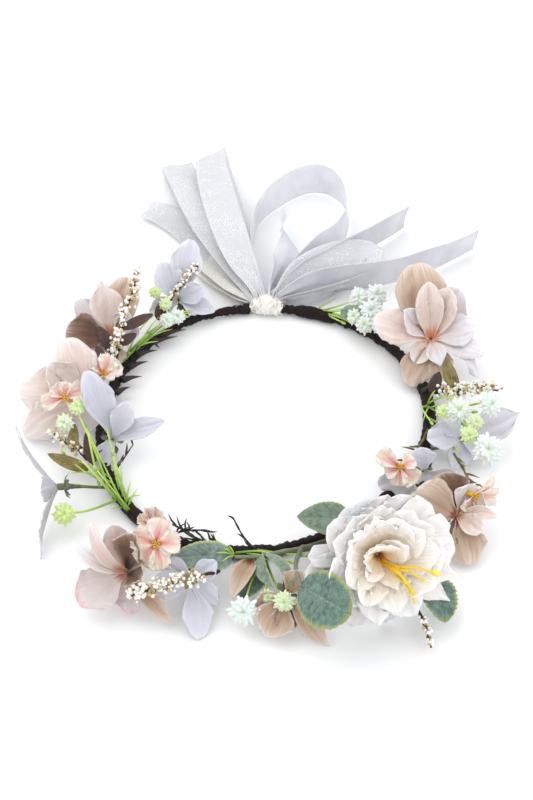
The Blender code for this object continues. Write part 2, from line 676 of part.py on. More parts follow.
def build_peony(parts):
    """The large bloom: stem, three whorls and the stamens."""
    for name, (count, first, opening, length, width, lift) in PEONY_WHORLS.items():
        petals = [(first + 360 * k / count - 180, opening, length, width) for k in range(count)]
        shell = whorl(name, petals, PEONY_TIP, lift, plain(name + "_silk", IVORY, 0.8), parts,
                      PEONY_CURL, PEONY_CUP, PEONY_DISC_R)
        place(shell, PEONY_THROAT, PEONY_FACING)
    axis = heading_vector(*PEONY_FACING)
    stamens = peony_stamens(plain("stamen_yellow", STAMEN_YELLOW, 0.6), parts)
    place(stamens, Vector(PEONY_THROAT) + axis * STAMEN_LIFT, PEONY_FACING)
    tape = plain("peony_stem_tape", OLIVE, 0.8)
    bloom_stem("peony_stem", PEONY_THROAT, PEONY_FACING, PEONY_ROOT, tape, parts, PEONY_BACK)


def build_greenery(parts):
    """Leaves, berry sprays and daisy picks."""
    for name, (base, tip, face, width, toothed) in SAGE_LEAVES.items():
        leaf(name, base, tip, face, width, toothed, plain(name + "_cloth", SAGE, 0.8), parts)
    for name, (points, count) in BERRY_SPRAYS.items():
        berry_spray(name, points, count, plain(name + "_foam", BERRY_WHITE, 0.7), parts)
    for name, (points, branches) in DAISY_PICKS.items():
        daisy_pick(name, points, branches, plain(name + "_plastic", DAISY_WHITE, 0.6), parts)


def build_ribbons(parts):
    """The bow: knot, loops and tails."""
    ribbon_knot(plain("knot_satin", RIBBON_WHITE, 0.6), parts)
    for name, (points, root_width, width, lean) in RIBBONS.items():
        ribbon(name, points, root_width, width, lean, plain(name + "_satin", RIBBON_WHITE, 0.6), parts)


def add_pivots(parts):
    """An empty on each hinge's axis, with the pieces that turn about it as its children."""
    bpy.context.view_layer.update()
    for name, (at, members) in PIVOTS.items():
        pivot = bpy.data.objects.new(name, None)
        parts.objects.link(pivot)
        pivot.location = Vector(at) * MM
        bpy.context.view_layer.update()
        for member in members:
            child = bpy.data.objects[member]
            child.parent = pivot
            child.matrix_parent_inverse = pivot.matrix_world.inverted()


clear_scene()
PARTS = new_collection("flower_crown")
CUTTERS = new_collection("cutters")
build_hoop(PARTS)
build_blooms(PARTS)
build_peony(PARTS)
build_greenery(PARTS)
build_ribbons(PARTS)
add_pivots(PARTS)
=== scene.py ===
import math

import bpy
import numpy as np
from mathutils import Matrix, Vector


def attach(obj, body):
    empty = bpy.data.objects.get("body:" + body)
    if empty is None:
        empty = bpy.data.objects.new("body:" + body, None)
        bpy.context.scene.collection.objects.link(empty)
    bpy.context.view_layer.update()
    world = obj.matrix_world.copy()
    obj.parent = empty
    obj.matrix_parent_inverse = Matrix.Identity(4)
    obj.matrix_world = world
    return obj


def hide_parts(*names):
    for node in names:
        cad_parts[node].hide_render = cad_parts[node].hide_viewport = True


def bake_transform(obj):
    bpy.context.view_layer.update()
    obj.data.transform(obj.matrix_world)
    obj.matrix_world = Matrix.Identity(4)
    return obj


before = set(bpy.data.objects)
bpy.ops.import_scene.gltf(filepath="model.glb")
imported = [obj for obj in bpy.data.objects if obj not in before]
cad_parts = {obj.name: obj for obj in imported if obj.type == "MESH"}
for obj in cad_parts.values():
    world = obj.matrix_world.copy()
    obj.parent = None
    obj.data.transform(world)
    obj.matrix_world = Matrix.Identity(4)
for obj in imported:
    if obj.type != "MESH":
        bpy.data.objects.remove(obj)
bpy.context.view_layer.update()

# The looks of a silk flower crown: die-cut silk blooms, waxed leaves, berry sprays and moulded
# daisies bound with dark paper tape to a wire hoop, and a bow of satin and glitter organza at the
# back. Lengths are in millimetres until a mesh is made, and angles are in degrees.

MM = 0.001
RANDOM = np.random.default_rng(7)

# ---- The hoop, as the part has it ----
HOOP_R = 90.6
HOOP_Z = 3.6
HOOP_START, HOOP_END = 85.5, -265.5
OVAL, BENT, SKEWED = 3.2, 1.9, 0.7   # how far the hoop is bent out of round by hand
COLLARS = {"tape_collar_back": 70, "tape_collar_right": 3, "tape_collar_front": -95,
           "tape_collar_left": -135}


# ================================ Maths ================================
def eased(value, low, high):
    """0 below low, 1 above high, and a smooth rise between."""
    t = np.clip((value - low) / (high - low), 0.0, 1.0)
    return t * t * (3 - 2 * t)


def spline(points, count):
    """count rows along a Catmull-Rom curve through the given rows, of any number of columns."""
    p = np.array(points, float)
    p = np.vstack([2 * p[0] - p[1], p, 2 * p[-1] - p[-2]])
    s = np.linspace(0, len(points) - 1, count)
    i = np.minimum(s.astype(int), len(points) - 2)
    t = (s - i)[:, None]
    a, b, c, d = p[i], p[i + 1], p[i + 2], p[i + 3]
    return 0.5 * (2 * b + (c - a) * t + (2 * a - 5 * b + 4 * c - d) * t ** 2
                  + (3 * b - a - 3 * c + d) * t ** 3)


def wobble(s, seed, waves=4):
    """Smooth noise of about unit size along s, the same each run for a seed."""
    r = np.random.default_rng(seed)
    total = 0.0
    for k in range(1, waves + 1):
        total = total + np.sin(2 * math.pi * (k * s * r.uniform(0.7, 1.3) + r.uniform())) / k ** 0.7
    return total * 0.55


def unit(v):
    return v / np.maximum(np.linalg.norm(v, axis=-1, keepdims=True), 1e-9)


def heading_vector(heading, rise):
    h, r = math.radians(heading), math.radians(rise)
    return np.array((math.cos(h) * math.cos(r), math.sin(h) * math.cos(r), math.sin(r)))


def facing_basis(facing):
    """Columns X (level), Y and Z (the facing) of a flower's own frame."""
    axis = heading_vector(*facing)
    across = unit(np.cross(axis, (0, 0, 1)))
    return np.stack((across, np.cross(axis, across), axis), axis=1)


def basis_toward(way):
    """facing_basis for a unit vector."""
    return facing_basis((math.degrees(math.atan2(way[1], way[0])), math.degrees(math.asin(way[2]))))


def hoop_radius(angle):
    a = np.radians(angle)
    return HOOP_R + OVAL * np.sin(2 * a) + BENT * np.cos(3 * a) + SKEWED * np.sin(3 * a)


def hoop_point(angle, out=0.0, up=0.0):
    a = np.radians(angle)
    r = hoop_radius(angle) + out
    return np.stack((r * np.cos(a), r * np.sin(a), HOOP_Z + up + 0 * a), axis=-1)


# ================================ Meshes ================================
TUBE_POINT = 0.02
ANY_WAY = (0.31, 0.17, 0.93)   # a direction that no stem runs along


class Patchwork:
    """Gathers grids of points into one mesh.

    Each point carries its place on its own patch: how far along, how far across, and a tone that
    differs from patch to patch."""

    def __init__(self):
        self.points, self.faces, self.marks, self.skins = [], [], [], []
        self.count = 0

    def grid(self, points, tone=0.5, skin=0, closed=False):
        rows, cols = points.shape[:2]
        v, u = np.linspace(0, 1, rows), np.linspace(0, 1, cols)
        mark = np.stack(np.broadcast_arrays(v[:, None], u[None, :], tone), axis=-1)
        self.points.append(points.reshape(-1, 3))
        self.marks.append(mark.reshape(-1, 3))
        i, j = np.meshgrid(np.arange(rows - 1), np.arange(cols if closed else cols - 1),
                           indexing="ij")
        n = (j + 1) % cols
        quads = np.stack((i * cols + j, i * cols + n, (i + 1) * cols + n, (i + 1) * cols + j),
                         axis=-1)
        self.faces.append(quads.reshape(-1, 4) + self.count)
        self.skins.append(np.full(quads.reshape(-1, 4).shape[0], skin))
        self.count += rows * cols

    def tube(self, path, radii, sides=10, tone=0.5, skin=0):
        """A round tube along a path, drawn in to a blunt point at both ends."""
        path = np.array(path, float)
        radii = np.broadcast_to(np.array(radii, float), len(path))
        first = path[0] + unit(path[0] - path[1]) * radii[0] * 0.5
        last = path[-1] + unit(path[-1] - path[-2]) * radii[-1] * 0.5
        path = np.vstack([first, path, last])
        radii = np.concatenate([[TUBE_POINT], radii, [TUBE_POINT]])
        tangent = unit(np.gradient(path, axis=0))
        across = unit(np.cross(tangent, ANY_WAY))
        rise = np.cross(across, tangent)
        a = np.linspace(0, 2 * math.pi, sides, endpoint=False)
        ring = across[:, None] * np.cos(a)[None, :, None] + rise[:, None] * np.sin(a)[None, :, None]
        self.grid(path[:, None] + ring * radii[:, None, None], tone, skin, closed=True)

    def ball(self, centre, radius, stretch=(1, 1, 1), basis=None, rings=6, sides=9, tone=0.5,
             skin=0):
        """A ball, perhaps stretched along its own axes."""
        t = np.linspace(0.06, math.pi - 0.06, rings)[:, None]
        a = np.linspace(0, 2 * math.pi, sides, endpoint=False)[None, :]
        p = np.stack((np.sin(t) * np.cos(a), np.sin(t) * np.sin(a), np.cos(t) + 0 * a),
                     axis=-1) * radius
        p = p[::-1] * np.array(stretch)
        if basis is not None:
            p = p @ basis.T
        self.grid(p + np.array(centre), tone, skin, closed=True)

    def object(self, name, materials, thickness=0.0):
        """The mesh as an object. With a thickness it becomes a cloth whose back takes the next
        material."""
        mesh = bpy.data.meshes.new(name)
        mesh.from_pydata((np.concatenate(self.points) * MM).tolist(), [],
                         np.concatenate(self.faces).tolist())
        mark = mesh.attributes.new("mark", "FLOAT_VECTOR", "POINT")
        mark.data.foreach_set("vector", np.concatenate(self.marks).astype(np.float32).ravel())
        mesh.polygons.foreach_set("material_index", np.concatenate(self.skins).astype(np.int32))
        mesh.polygons.foreach_set("use_smooth", np.ones(len(mesh.polygons), bool))
        for material in materials:
            mesh.materials.append(material)
        mesh.update()
        obj = bpy.data.objects.new(name, mesh)
        bpy.context.scene.collection.objects.link(obj)
        if thickness:
            solid = obj.modifiers.new("thickness", "SOLIDIFY")
            solid.thickness = thickness * MM
            solid.offset = 0.0
            solid.material_offset = 1
        return obj


def wear(obj, body, node=None):
    """Put a piece on its body and let it stand for a CAD node."""
    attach(obj, body)
    if node:
        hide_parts(node)


# ================================ Materials ================================
NOISE_ROUGHNESS = 0.55
WHITE = (1.0, 1.0, 1.0)


class Shader:
    """A material's node tree, built a node at a time."""

    def __init__(self, name, roughness, **sockets):
        self.material = bpy.data.materials.new(name)
        self.material.use_nodes = True
        self.tree = self.material.node_tree
        self.out = self.tree.nodes["Principled BSDF"]
        self.out.inputs["Roughness"].default_value = roughness
        for socket, value in sockets.items():
            self.out.inputs[socket.replace("_", " ")].default_value = value
        self.place = self.tree.nodes.new("ShaderNodeTexCoord").outputs["Object"]
        mark = self.tree.nodes.new("ShaderNodeAttribute")
        mark.attribute_name = "mark"
        split = self.tree.nodes.new("ShaderNodeSeparateXYZ")
        self.tree.links.new(mark.outputs["Vector"], split.inputs[0])
        self.along, self.across, self.tone = split.outputs

    def math(self, operation, a, b=0.5, clamp=False):
        node = self.tree.nodes.new("ShaderNodeMath")
        node.operation = operation
        node.use_clamp = clamp
        for socket, value in zip(node.inputs, (a, b)):
            self.give(socket, value)
        return node.outputs[0]

    def plus(self, a, b, clamp=False):
        return self.math("ADD", a, b, clamp)

    def minus(self, a, b, clamp=False):
        return self.math("SUBTRACT", a, b, clamp)

    def times(self, a, b, clamp=False):
        return self.math("MULTIPLY", a, b, clamp)

    def larger(self, a, b):
        return self.math("MAXIMUM", a, b)

    def from_middle(self):
        """How far off the patch's middle line, 0 to a half."""
        return self.math("ABSOLUTE", self.minus(self.across, 0.5))

    def give(self, socket, value):
        if isinstance(value, bpy.types.NodeSocket):
            self.tree.links.new(value, socket)
        elif isinstance(value, tuple) and len(value) == 3 and socket.type == "RGBA":
            socket.default_value = (*value, 1)
        else:
            socket.default_value = value

    def vector(self, x, y, z):
        node = self.tree.nodes.new("ShaderNodeCombineXYZ")
        for socket, value in zip(node.inputs, (x, y, z)):
            self.give(socket, value)
        return node.outputs[0]

    def noise(self, scale, detail=3.0, where=None):
        node = self.tree.nodes.new("ShaderNodeTexNoise")
        node.inputs["Scale"].default_value = scale
        node.inputs["Detail"].default_value = detail
        node.inputs["Roughness"].default_value = NOISE_ROUGHNESS
        self.give(node.inputs["Vector"], self.place if where is None else where)
        return node.outputs["Fac"]

    def cells(self, scale):
        """How far it is to the nearest of many scattered points."""
        node = self.tree.nodes.new("ShaderNodeTexVoronoi")
        node.inputs["Scale"].default_value = scale
        self.give(node.inputs["Vector"], self.place)
        return node.outputs["Distance"]

    def ramp(self, value, *stops):
        """Colours or numbers at places from 0 to 1."""
        node = self.tree.nodes.new("ShaderNodeValToRGB")
        ramp = node.color_ramp
        while len(ramp.elements) < len(stops):
            ramp.elements.new(0.5)
        for element, (at, colour) in zip(ramp.elements, stops):
            element.position = at
            element.color = (*colour, 1) if isinstance(colour, tuple) else (colour, colour, colour,
                                                                            1)
        self.give(node.inputs["Fac"], value)
        return node.outputs["Color"]

    def mix(self, share, a, b, blend="MIX"):
        node = self.tree.nodes.new("ShaderNodeMix")
        node.data_type = "RGBA"
        node.blend_type = blend
        self.give(node.inputs["Factor"], share)
        self.give(node.inputs["A"], a)
        self.give(node.inputs["B"], b)
        return node.outputs["Result"]

    def bump(self, height, strength, distance=0.3, under=None):
        node = self.tree.nodes.new("ShaderNodeBump")
        node.inputs["Strength"].default_value = strength
        node.inputs["Distance"].default_value = distance * MM
        self.give(node.inputs["Height"], height)
        if under is not None:
            self.give(node.inputs["Normal"], under)
        return node.outputs["Normal"]

    def finish(self, colour, normal=None, roughness=None, alpha=None):
        self.give(self.out.inputs["Base Color"], colour)
        if normal is not None:
            self.give(self.out.inputs["Normal"], normal)
        if roughness is not None:
            self.give(self.out.inputs["Roughness"], roughness)
        if alpha is not None:
            self.give(self.out.inputs["Alpha"], alpha)
        return self.material


def srgb(text):
    """A linear colour from its six hex digits."""
    values = [int(text[i:i + 2], 16) / 255 for i in (0, 2, 4)]
    return tuple(v / 12.92 if v <= 0.04045 else ((v + 0.055) / 1.055) ** 2.4 for v in values)


def silk(name, colours, throat_end=0.12, low_end=0.45, streaks=0.38, flare=0.22,
         rim_from=0.36, relief=0.22):
    """Petal silk: coloured from the throat outward, with fan-like threads and a fine weave.

    throat_end and low_end are where those colours end along the petal, streaks how strongly the
    threads show, flare how far they carry a colour on, rim_from where its edge colour begins and
    relief the height of the threads."""
    throat, low, high, edge = map(srgb, colours.split())
    s = Shader(name, 0.72, Sheen_Weight=0.25, Sheen_Roughness=0.5, Subsurface_Weight=0.12,
               Subsurface_Scale=0.002)
    side = s.from_middle()
    streak = s.noise(1.0, 4.0, s.vector(s.times(s.across, 26.0), s.times(s.along, 2.2),
                                        s.times(s.tone, 40.0)))
    blotch = s.noise(70.0, 3.0)
    reach = s.plus(s.along, s.times(s.minus(streak, 0.5), flare))
    colour = s.ramp(reach, (0.0, throat), (throat_end, throat), (throat_end + 0.10, low),
                    (low_end, low),
                    (0.86, high), (1.0, edge))
    rim = s.times(s.minus(side, rim_from, clamp=True), 3.5, clamp=True)
    colour = s.mix(rim, colour, edge)
    # the streaks are partly the threads' own colour and partly painted shade, darkest in the
    # grooves that the thread bump below makes
    shade = s.ramp(streak, (0.25, 0.78), (0.75, 1.05))
    colour = s.mix(streaks, colour, shade, "MULTIPLY")
    cast = s.ramp(s.tone, (0.0, (0.93, 0.93, 0.95)), (0.5, WHITE), (1.0, (1.0, 0.97, 0.94)))
    colour = s.mix(0.8, colour, cast, "MULTIPLY")
    colour = s.mix(0.35, colour, s.ramp(blotch, (0.3, 0.88), (0.7, 1.05)), "MULTIPLY")
    threads = s.bump(streak, relief, 0.4)
    weave = s.bump(s.noise(2600.0, 1.0), 0.18, 0.12, threads)
    return s.finish(colour, weave)


def paper_tape(name, dark, light):
    """Waxed crepe tape: streaked, wrinkled across its turns, with a dull wax shine on the
    ridges."""
    s = Shader(name, 0.7, Specular_IOR_Level=0.3)
    grain = s.noise(420.0, 5.0)
    wrinkle = s.noise(1.0, 4.0, s.vector(s.times(s.along, 900.0), s.times(s.across, 5.0), 0.0))
    colour = s.mix(s.ramp(grain, (0.35, 0.0), (0.75, 1.0)), srgb(dark), srgb(light))
    rough = s.ramp(wrinkle, (0.3, 0.55), (0.8, 0.9))
    return s.finish(colour, s.bump(wrinkle, 0.6, 0.35, s.bump(grain, 0.5, 0.25)), rough)


def stem_skin(name, low, high, roughness=0.5):
    """A thin stem: one colour at its foot and another at its tip, mottled."""
    s = Shader(name, roughness)
    mottle = s.noise(300.0, 4.0)
    colour = s.ramp(s.along, (0.05, srgb(low)), (0.9, srgb(high)))
    colour = s.mix(0.6, colour, s.ramp(mottle, (0.3, 0.70), (0.7, 1.15)), "MULTIPLY")
    return s.finish(colour, s.bump(mottle, 0.4, 0.25))


def leaf_cloth(name, deep, pale, vein, rim):
    """Waxed leaf cloth: dusty and mottled between pale veins, with a differently dyed rim."""
    deep, pale, vein, rim = map(srgb, (deep, pale, vein, rim))
    s = Shader(name, 0.62, Sheen_Weight=0.35, Sheen_Roughness=0.6)
    side = s.from_middle()
    mottle = s.noise(330.0, 5.0)
    dust = s.noise(1500.0, 3.0)
    wash = s.noise(90.0, 2.0)
    colour = s.mix(s.ramp(mottle, (0.36, 0.0), (0.68, 1.0)), deep, pale)
    colour = s.mix(s.ramp(wash, (0.45, 0.0), (0.75, 0.55)), colour, pale)
    slant = s.minus(s.times(s.along, 9.0), s.times(side, 7.0))
    rib = s.math("ABSOLUTE", s.minus(s.math("FRACT", slant), 0.5))
    ribs = s.ramp(rib, (0.0, 0.8), (0.10, 0.0))
    middle = s.ramp(side, (0.0, 1.0), (0.035, 0.0))
    veins = s.larger(ribs, middle)
    colour = s.mix(s.times(veins, 0.75), colour, vein)
    outer = s.larger(s.ramp(side, (0.40, 0.0), (0.49, 1.0)),
                     s.ramp(s.along, (0.88, 0.0), (1.0, 1.0)))
    colour = s.mix(s.times(outer, 0.85), colour, rim)
    colour = s.mix(0.5, colour, s.ramp(dust, (0.3, 0.72), (0.72, 1.2)), "MULTIPLY")
    relief = s.bump(veins, 0.6, 0.35, s.bump(mottle, 0.45, 0.3, s.bump(dust, 0.3, 0.12)))
    return s.finish(colour, relief)


def berry_skin(name):
    """Pearly foam beads, some greener and some dusted with gold-brown."""
    s = Shader(name, 0.36, Coat_Weight=0.3, Coat_Roughness=0.2)
    speck = s.noise(700.0, 3.0)
    colour = s.ramp(s.tone, (0.0, srgb("F8F6F0")), (0.5, srgb("EFEBDD")), (0.75, srgb("CDBB80")),
                    (1.0, srgb("8A6420")))
    colour = s.mix(s.ramp(speck, (0.55, 0.0), (0.70, 0.6)), colour, srgb("B79A5B"))
    return s.finish(colour, s.bump(speck, 0.3, 0.15))


def daisy_skin(name):
    """Moulded polyethylene, white at the rays' tips and lime at the heart."""
    s = Shader(name, 0.42, Subsurface_Weight=0.15, Subsurface_Scale=0.002)
    grain = s.noise(900.0, 3.0)
    colour = s.ramp(s.along, (0.0, srgb("A9C850")), (0.3, srgb("D6E4BE")), (0.6, srgb("E0E7E0")),
                    (1.0, srgb("EBEEEE")))
    colour = s.mix(s.times(s.tone, 0.85), colour, srgb("CFE386"))
    colour = s.mix(0.3, colour, s.ramp(grain, (0.3, 0.85), (0.7, 1.05)), "MULTIPLY")
    return s.finish(colour, s.bump(grain, 0.25, 0.15))


def satin(name, tint, deep, share):
    """Fine satin ribbon: threads along it, a denser selvedge, a soft sheen, and a little of what is
    behind it."""
    s = Shader(name, 0.40, Sheen_Weight=0.45, Sheen_Roughness=0.35, Anisotropic=0.4)
    side = s.from_middle()
    thread = s.noise(1.0, 2.0, s.vector(s.times(s.across, 160.0), s.times(s.along, 14.0), 0.0))
    cloud = s.noise(60.0, 2.0)
    glint = s.ramp(s.noise(520.0, 2.0), (0.66, 0.0), (0.74, 0.6))
    colour = s.mix(s.ramp(cloud, (0.3, 0.0), (0.7, 1.0)), srgb(tint), srgb(deep))
    colour = s.mix(0.3, colour, s.ramp(thread, (0.3, 0.85), (0.7, 1.05)), "MULTIPLY")
    hem = s.ramp(side, (0.455, 0.0), (0.475, 0.6))
    colour = s.mix(s.times(s.larger(hem, glint), 0.45), colour, srgb("FAFAFD"))
    alpha = s.plus(share, s.times(s.larger(hem, glint), 0.2), clamp=True)
    return s.finish(colour, s.bump(thread, 0.15, 0.08), None, alpha)


def organza(name, tint, share):
    """Sheer organza: an open weave that shows what is behind it, strewn with bright glitter
    flecks."""
    s = Shader(name, 0.5, Sheen_Weight=0.4, Sheen_Roughness=0.4)
    side = s.from_middle()
    warp = s.noise(1.0, 1.0, s.vector(s.times(s.across, 110.0), s.times(s.along, 40.0), 0.0))
    fleck_size = s.minus(0.36, s.cells(1250.0), clamp=True)
    cluster = s.ramp(s.noise(110.0, 3.0), (0.44, 0.0), (0.60, 1.0))
    lit = s.times(cluster, s.times(fleck_size, 4.0), clamp=True)
    colour = s.mix(lit, s.mix(0.4, srgb(tint), s.ramp(warp, (0.3, 0.84), (0.7, 1.05)), "MULTIPLY"),
                   srgb("FFFFFF"))
    dense = s.ramp(side, (0.44, 0.0), (0.48, 0.12))
    alpha = s.plus(s.plus(share, s.times(warp, 0.18)), s.larger(dense, lit),
                   clamp=True)
    rough = s.minus(0.55, s.times(lit, 0.35))
    return s.finish(colour, s.bump(lit, 0.5, 0.2), rough, alpha)


# the peony's silks are smoother than the rest
CALM = dict(streaks=0.15, relief=0.08)
# a silk's colours run from its throat over the low and the high part of its petals to their edge
# painted shade: the throat and low colours, darkest in the tan silks, are partly the silk's dye and
# partly painted shade where the petals close in round the heart; the shade silks are darker brown
# copies, painted shade for petals that lie in shadow
MATERIALS = {
    "tan_in": silk("magnolia_tan_face", "7C3E1C AE947C CCB8A6 DFD2C7", throat_end=0.12, flare=0.55),
    "tan_out": silk("magnolia_tan_back", "8C6C50 A98F76 C2AD9A D8C9BB", throat_end=0.02,
                    low_end=0.4),
    "blush_in": silk("magnolia_blush_face", "C67F55 DAC6BB E5D8D2 F1E7E4", throat_end=0.13,
                     flare=0.55),
    "blush_out": silk("magnolia_blush_back", "AC8A70 D0BBAD DDCEC5 E9DDD6", throat_end=0.02,
                      low_end=0.4),
    "white_in": silk("magnolia_white_face", "CE9070 DFD3CF E8E5E9 F3F2F6", throat_end=0.11,
                     flare=0.55),
    "white_out": silk("magnolia_white_back", "B89E8C CFC7C4 DAD8DE E7E6EC", throat_end=0.02,
                      low_end=0.4),
    "shade_in": silk("magnolia_shaded_face", "30180E 6A5040 967C66 CBB9A9", throat_end=0.20,
                     low_end=0.50, flare=0.4),
    "shade_out": silk("magnolia_shaded_back", "7A5A44 A08874 B9A695 D0C1B4", throat_end=0.02,
                      low_end=0.4),
    "rosy_in": silk("magnolia_rosy_face", "A66A4C D6CBC6 E3DDDB E9BFC0", throat_end=0.12,
                    flare=0.4, rim_from=0.40),
    "rosy_out": silk("magnolia_rosy_back", "A88C78 CFC3BC DCD5D1 E4C6C4", throat_end=0.02,
                     low_end=0.4),
    "lilac_in": silk("lily_face", "A2A890 C1C3CD D3D5DF E1E2EA", throat_end=0.03, low_end=0.3),
    "lilac_out": silk("lily_back", "9AA28C B7B9C3 C8CAD3 D7D8E1", throat_end=0.05, low_end=0.35),
    "pink_in": silk("blossom_face", "C93E58 E89A98 F0DACA F5EBDF", throat_end=0.16, low_end=0.28,
                    flare=0.55, streaks=0.8, rim_from=0.12),
    "pink_out": silk("blossom_back", "C46C6C E0ABA0 ECD3C4 F2E4D6", throat_end=0.14, low_end=0.30,
                     rim_from=0.2),
    "ivory_in": silk("peony_face", "D79C34 E8DFD6 EFEBE8 F8F6F5", **CALM, throat_end=0.08,
                     low_end=0.24, flare=0.45),
    "ivory_out": silk("peony_back", "CDB58C DED5C8 E5E1DC EFEDEA", **CALM, throat_end=0.05,
                      low_end=0.30),
    "mist_in": silk("peony_outer_face", "BDAA84 CDCBC9 D9D9DA E7E7E8", **CALM, throat_end=0.05,
                    low_end=0.30),
    "mist_out": silk("peony_outer_back", "B2A894 C6C6C7 D2D2D5 E0E0E3", **CALM, throat_end=0.04,
                     low_end=0.30),
    "gold_in": silk("peony_heart_face", "B9661A E5C694 F1EBE5 F9F6F4", **CALM, throat_end=0.08,
                    low_end=0.15, flare=0.8),
    "gold_out": silk("peony_heart_back", "D09A48 E4D3B8 EBE6E0 F4F1EE", **CALM, throat_end=0.10,
                     low_end=0.24, flare=0.5),
    "tape": paper_tape("dark_paper_tape", "080302", "23110A"),
    "grey_green": stem_skin("grey_green_stem", "4A4F38", "7C8468"),
    "brown": stem_skin("brown_stem", "32140C", "5C3418"),
    "lime": stem_skin("lime_stem", "6C9A22", "CDE27A", 0.4),
    "needle": stem_skin("dark_needles", "1C1812", "323A28", 0.55),
    "thorn": stem_skin("brown_thorns", "1A0E0A", "3A2016", 0.5),
    "olive_needle": stem_skin("olive_needles", "5A5226", "7E7440", 0.55),
    "sage": leaf_cloth("sage_leaf_cloth", "4E6455", "8A9F86", "A3B59C", "93A566"),
    "limed_sage": leaf_cloth("lime_edged_leaf_cloth", "546A62", "8C9F96", "A2B3A6", "B9C867"),
    "deep_sage": leaf_cloth("deep_sage_leaf_cloth", "34564A", "6C8B7D", "8DA797", "A3AF55"),
    "golden": leaf_cloth("golden_leaf_cloth", "5A4A14", "9A8A3A", "C0B070", "6A4A20"),
    "russet": leaf_cloth("russet_leaf_cloth", "2E140C", "4C2618", "6A3A26", "2A120A"),
    "berry": berry_skin("berry_pearl"),
    "daisy": daisy_skin("daisy_plastic"),
    "satin": satin("ribbon_satin", "F4F4F8", "DDDEE6", 0.80),
    # painted shade: a darker copy of the satin, for the ribbons' backs and the long tails
    "satin_shade": satin("ribbon_satin_painted_shade", "E4E4EA", "CECFD8", 0.82),
    "organza": organza("ribbon_organza", "E2E2E5", 0.58),
    "cream_organza": organza("cream_organza", "EBE9E2", 0.62),
    "knot": organza("knot_organza", "F2EFE7", 0.95),
    "stamen": stem_skin("stamen_yellow", "DDA010", "F0D638", 0.5),
    "anther": stem_skin("anther_orange", "DB8A10", "EDC63C", 0.7),
    "pollen": stem_skin("pollen_yellow", "E3CF3A", "EFE27A", 0.7),
}


# ================================ Petals ================================
# share of the greatest width at these shares of the length
OUTLINES = {
    "round": (0.14, 0.36, 0.74, 0.97, 1.00, 0.78),
    "pointed": (0.14, 0.40, 0.82, 1.00, 0.78, 0.16),
    "broad": (0.26, 0.56, 0.86, 1.00, 1.00, 0.84),
    "spoon": (0.12, 0.20, 0.42, 0.84, 1.00, 0.72),
    "strap": (0.30, 0.62, 0.90, 1.00, 0.90, 0.50),
    "block": (0.24, 0.50, 0.76, 0.94, 1.00, 0.96),
    "fan": (0.16, 0.36, 0.64, 0.88, 1.00, 0.94),
}
TIP_DROP = {"round": 0.26, "pointed": 0.10, "broad": 0.20, "spoon": 0.24, "strap": 0.16,
            "block": 0.07, "fan": 0.12}


def petal_sheet(length, width, outline="round", bend=-20, cup=0.5, base_cup=0.9, ruffle=0.06,
                waves=2.2,
                crease=0.10, folds=2, twist=0, sweep=0.0, notch=0.0, teeth=0.0, seed=0, rows=26,
                cols=19):
    """A petal in its own frame: X across, Y from its claw to its tip, Z out of its face.

    bend is how far its tip turns toward its face from its claw, cup and base_cup how far its edges
    rise at the tip and the claw, crease and folds the depth and number of its long folds, sweep how
    far it bows sideways, notch the dent in its tip and teeth the depth of its saw-edged tip."""
    v = np.linspace(0, 1, rows)[:, None]
    u = np.linspace(-1, 1, cols)[None, :]
    knots = np.array([(w,) for w in OUTLINES[outline]])
    half = width / 2 * spline(knots, rows)
    slope = np.radians(bend) * (v - 0.5) * (0.6 + 0.8 * v)
    step = np.stack((np.cos(slope), np.sin(slope)), axis=-1)[:, 0] / (rows - 1)
    line = np.vstack([[0, 0], np.cumsum(step[1:], axis=0)])
    chord = math.atan2(line[-1, 1], line[-1, 0])
    turn = np.array(((math.cos(chord), -math.sin(chord)), (math.sin(chord), math.cos(chord))))
    line = line @ turn / np.linalg.norm(line[-1]) * length
    arc = cup + (base_cup - cup) * (1 - eased(v, 0.0, 0.6))
    safe = np.where(np.abs(arc) < 1e-3, 1e-3, arc)
    x = half * np.sin(safe * u) / safe
    z = half * (1 - np.cos(safe * u)) / safe
    y = line[:, :1] - length * (TIP_DROP[outline] * np.abs(u) ** 2.3 - notch
                                * np.exp(-(u / 0.25) ** 2)
                                + notch) * v ** 2.2
    y = y + length * teeth * np.abs(((u * 4.5 + 0.5) % 1.0) - 0.5) * v ** 8
    z = z + line[:, 1:]
    left, right = wobble(v * waves, seed), wobble(v * waves, seed + 1)
    frill = np.where(u < 0, left, right) * np.abs(u) ** 2.2 * eased(v, 0.1, 0.7)
    tip = wobble((u + 1) * waves * 0.35, seed + 2) * v ** 5
    z = z + ruffle * width * (frill + 0.8 * tip)
    r = np.random.default_rng(seed + 3)
    for k in range(folds):
        centre = 0.0 if k == 0 else r.uniform(-0.7, 0.7)
        depth = crease * (1.0 if k == 0 else 0.7) * r.uniform(0.7, 1.2)
        off = u - centre - 0.1 * wobble(v, seed + 4 + k)
        z = z - depth * half * np.exp(-(off / 0.13) ** 2) * eased(v, 0.02, 0.4)
    a = np.radians(twist) * v
    over = z - line[:, 1:]
    x, over = x * np.cos(a) - over * np.sin(a), x * np.sin(a) + over * np.cos(a)
    z = line[:, 1:] + over
    x = x + sweep * length * v * (1 - v) + 0 * u
    return np.stack((x, y, z), axis=-1)


def petal_place(turn, opening, throat=2.0):
    """The petal's frame within its flower's: start point and the three directions."""
    t, o = math.radians(turn), math.radians(opening)
    out = np.array((math.cos(t), math.sin(t), 0))
    side = np.array((-math.sin(t), math.cos(t), 0))
    along = out * math.sin(o) + np.array((0, 0, math.cos(o)))
    inward = np.array((0, 0, math.sin(o))) - out * math.cos(o)
    return out * throat, np.stack((side, along, inward), axis=1)


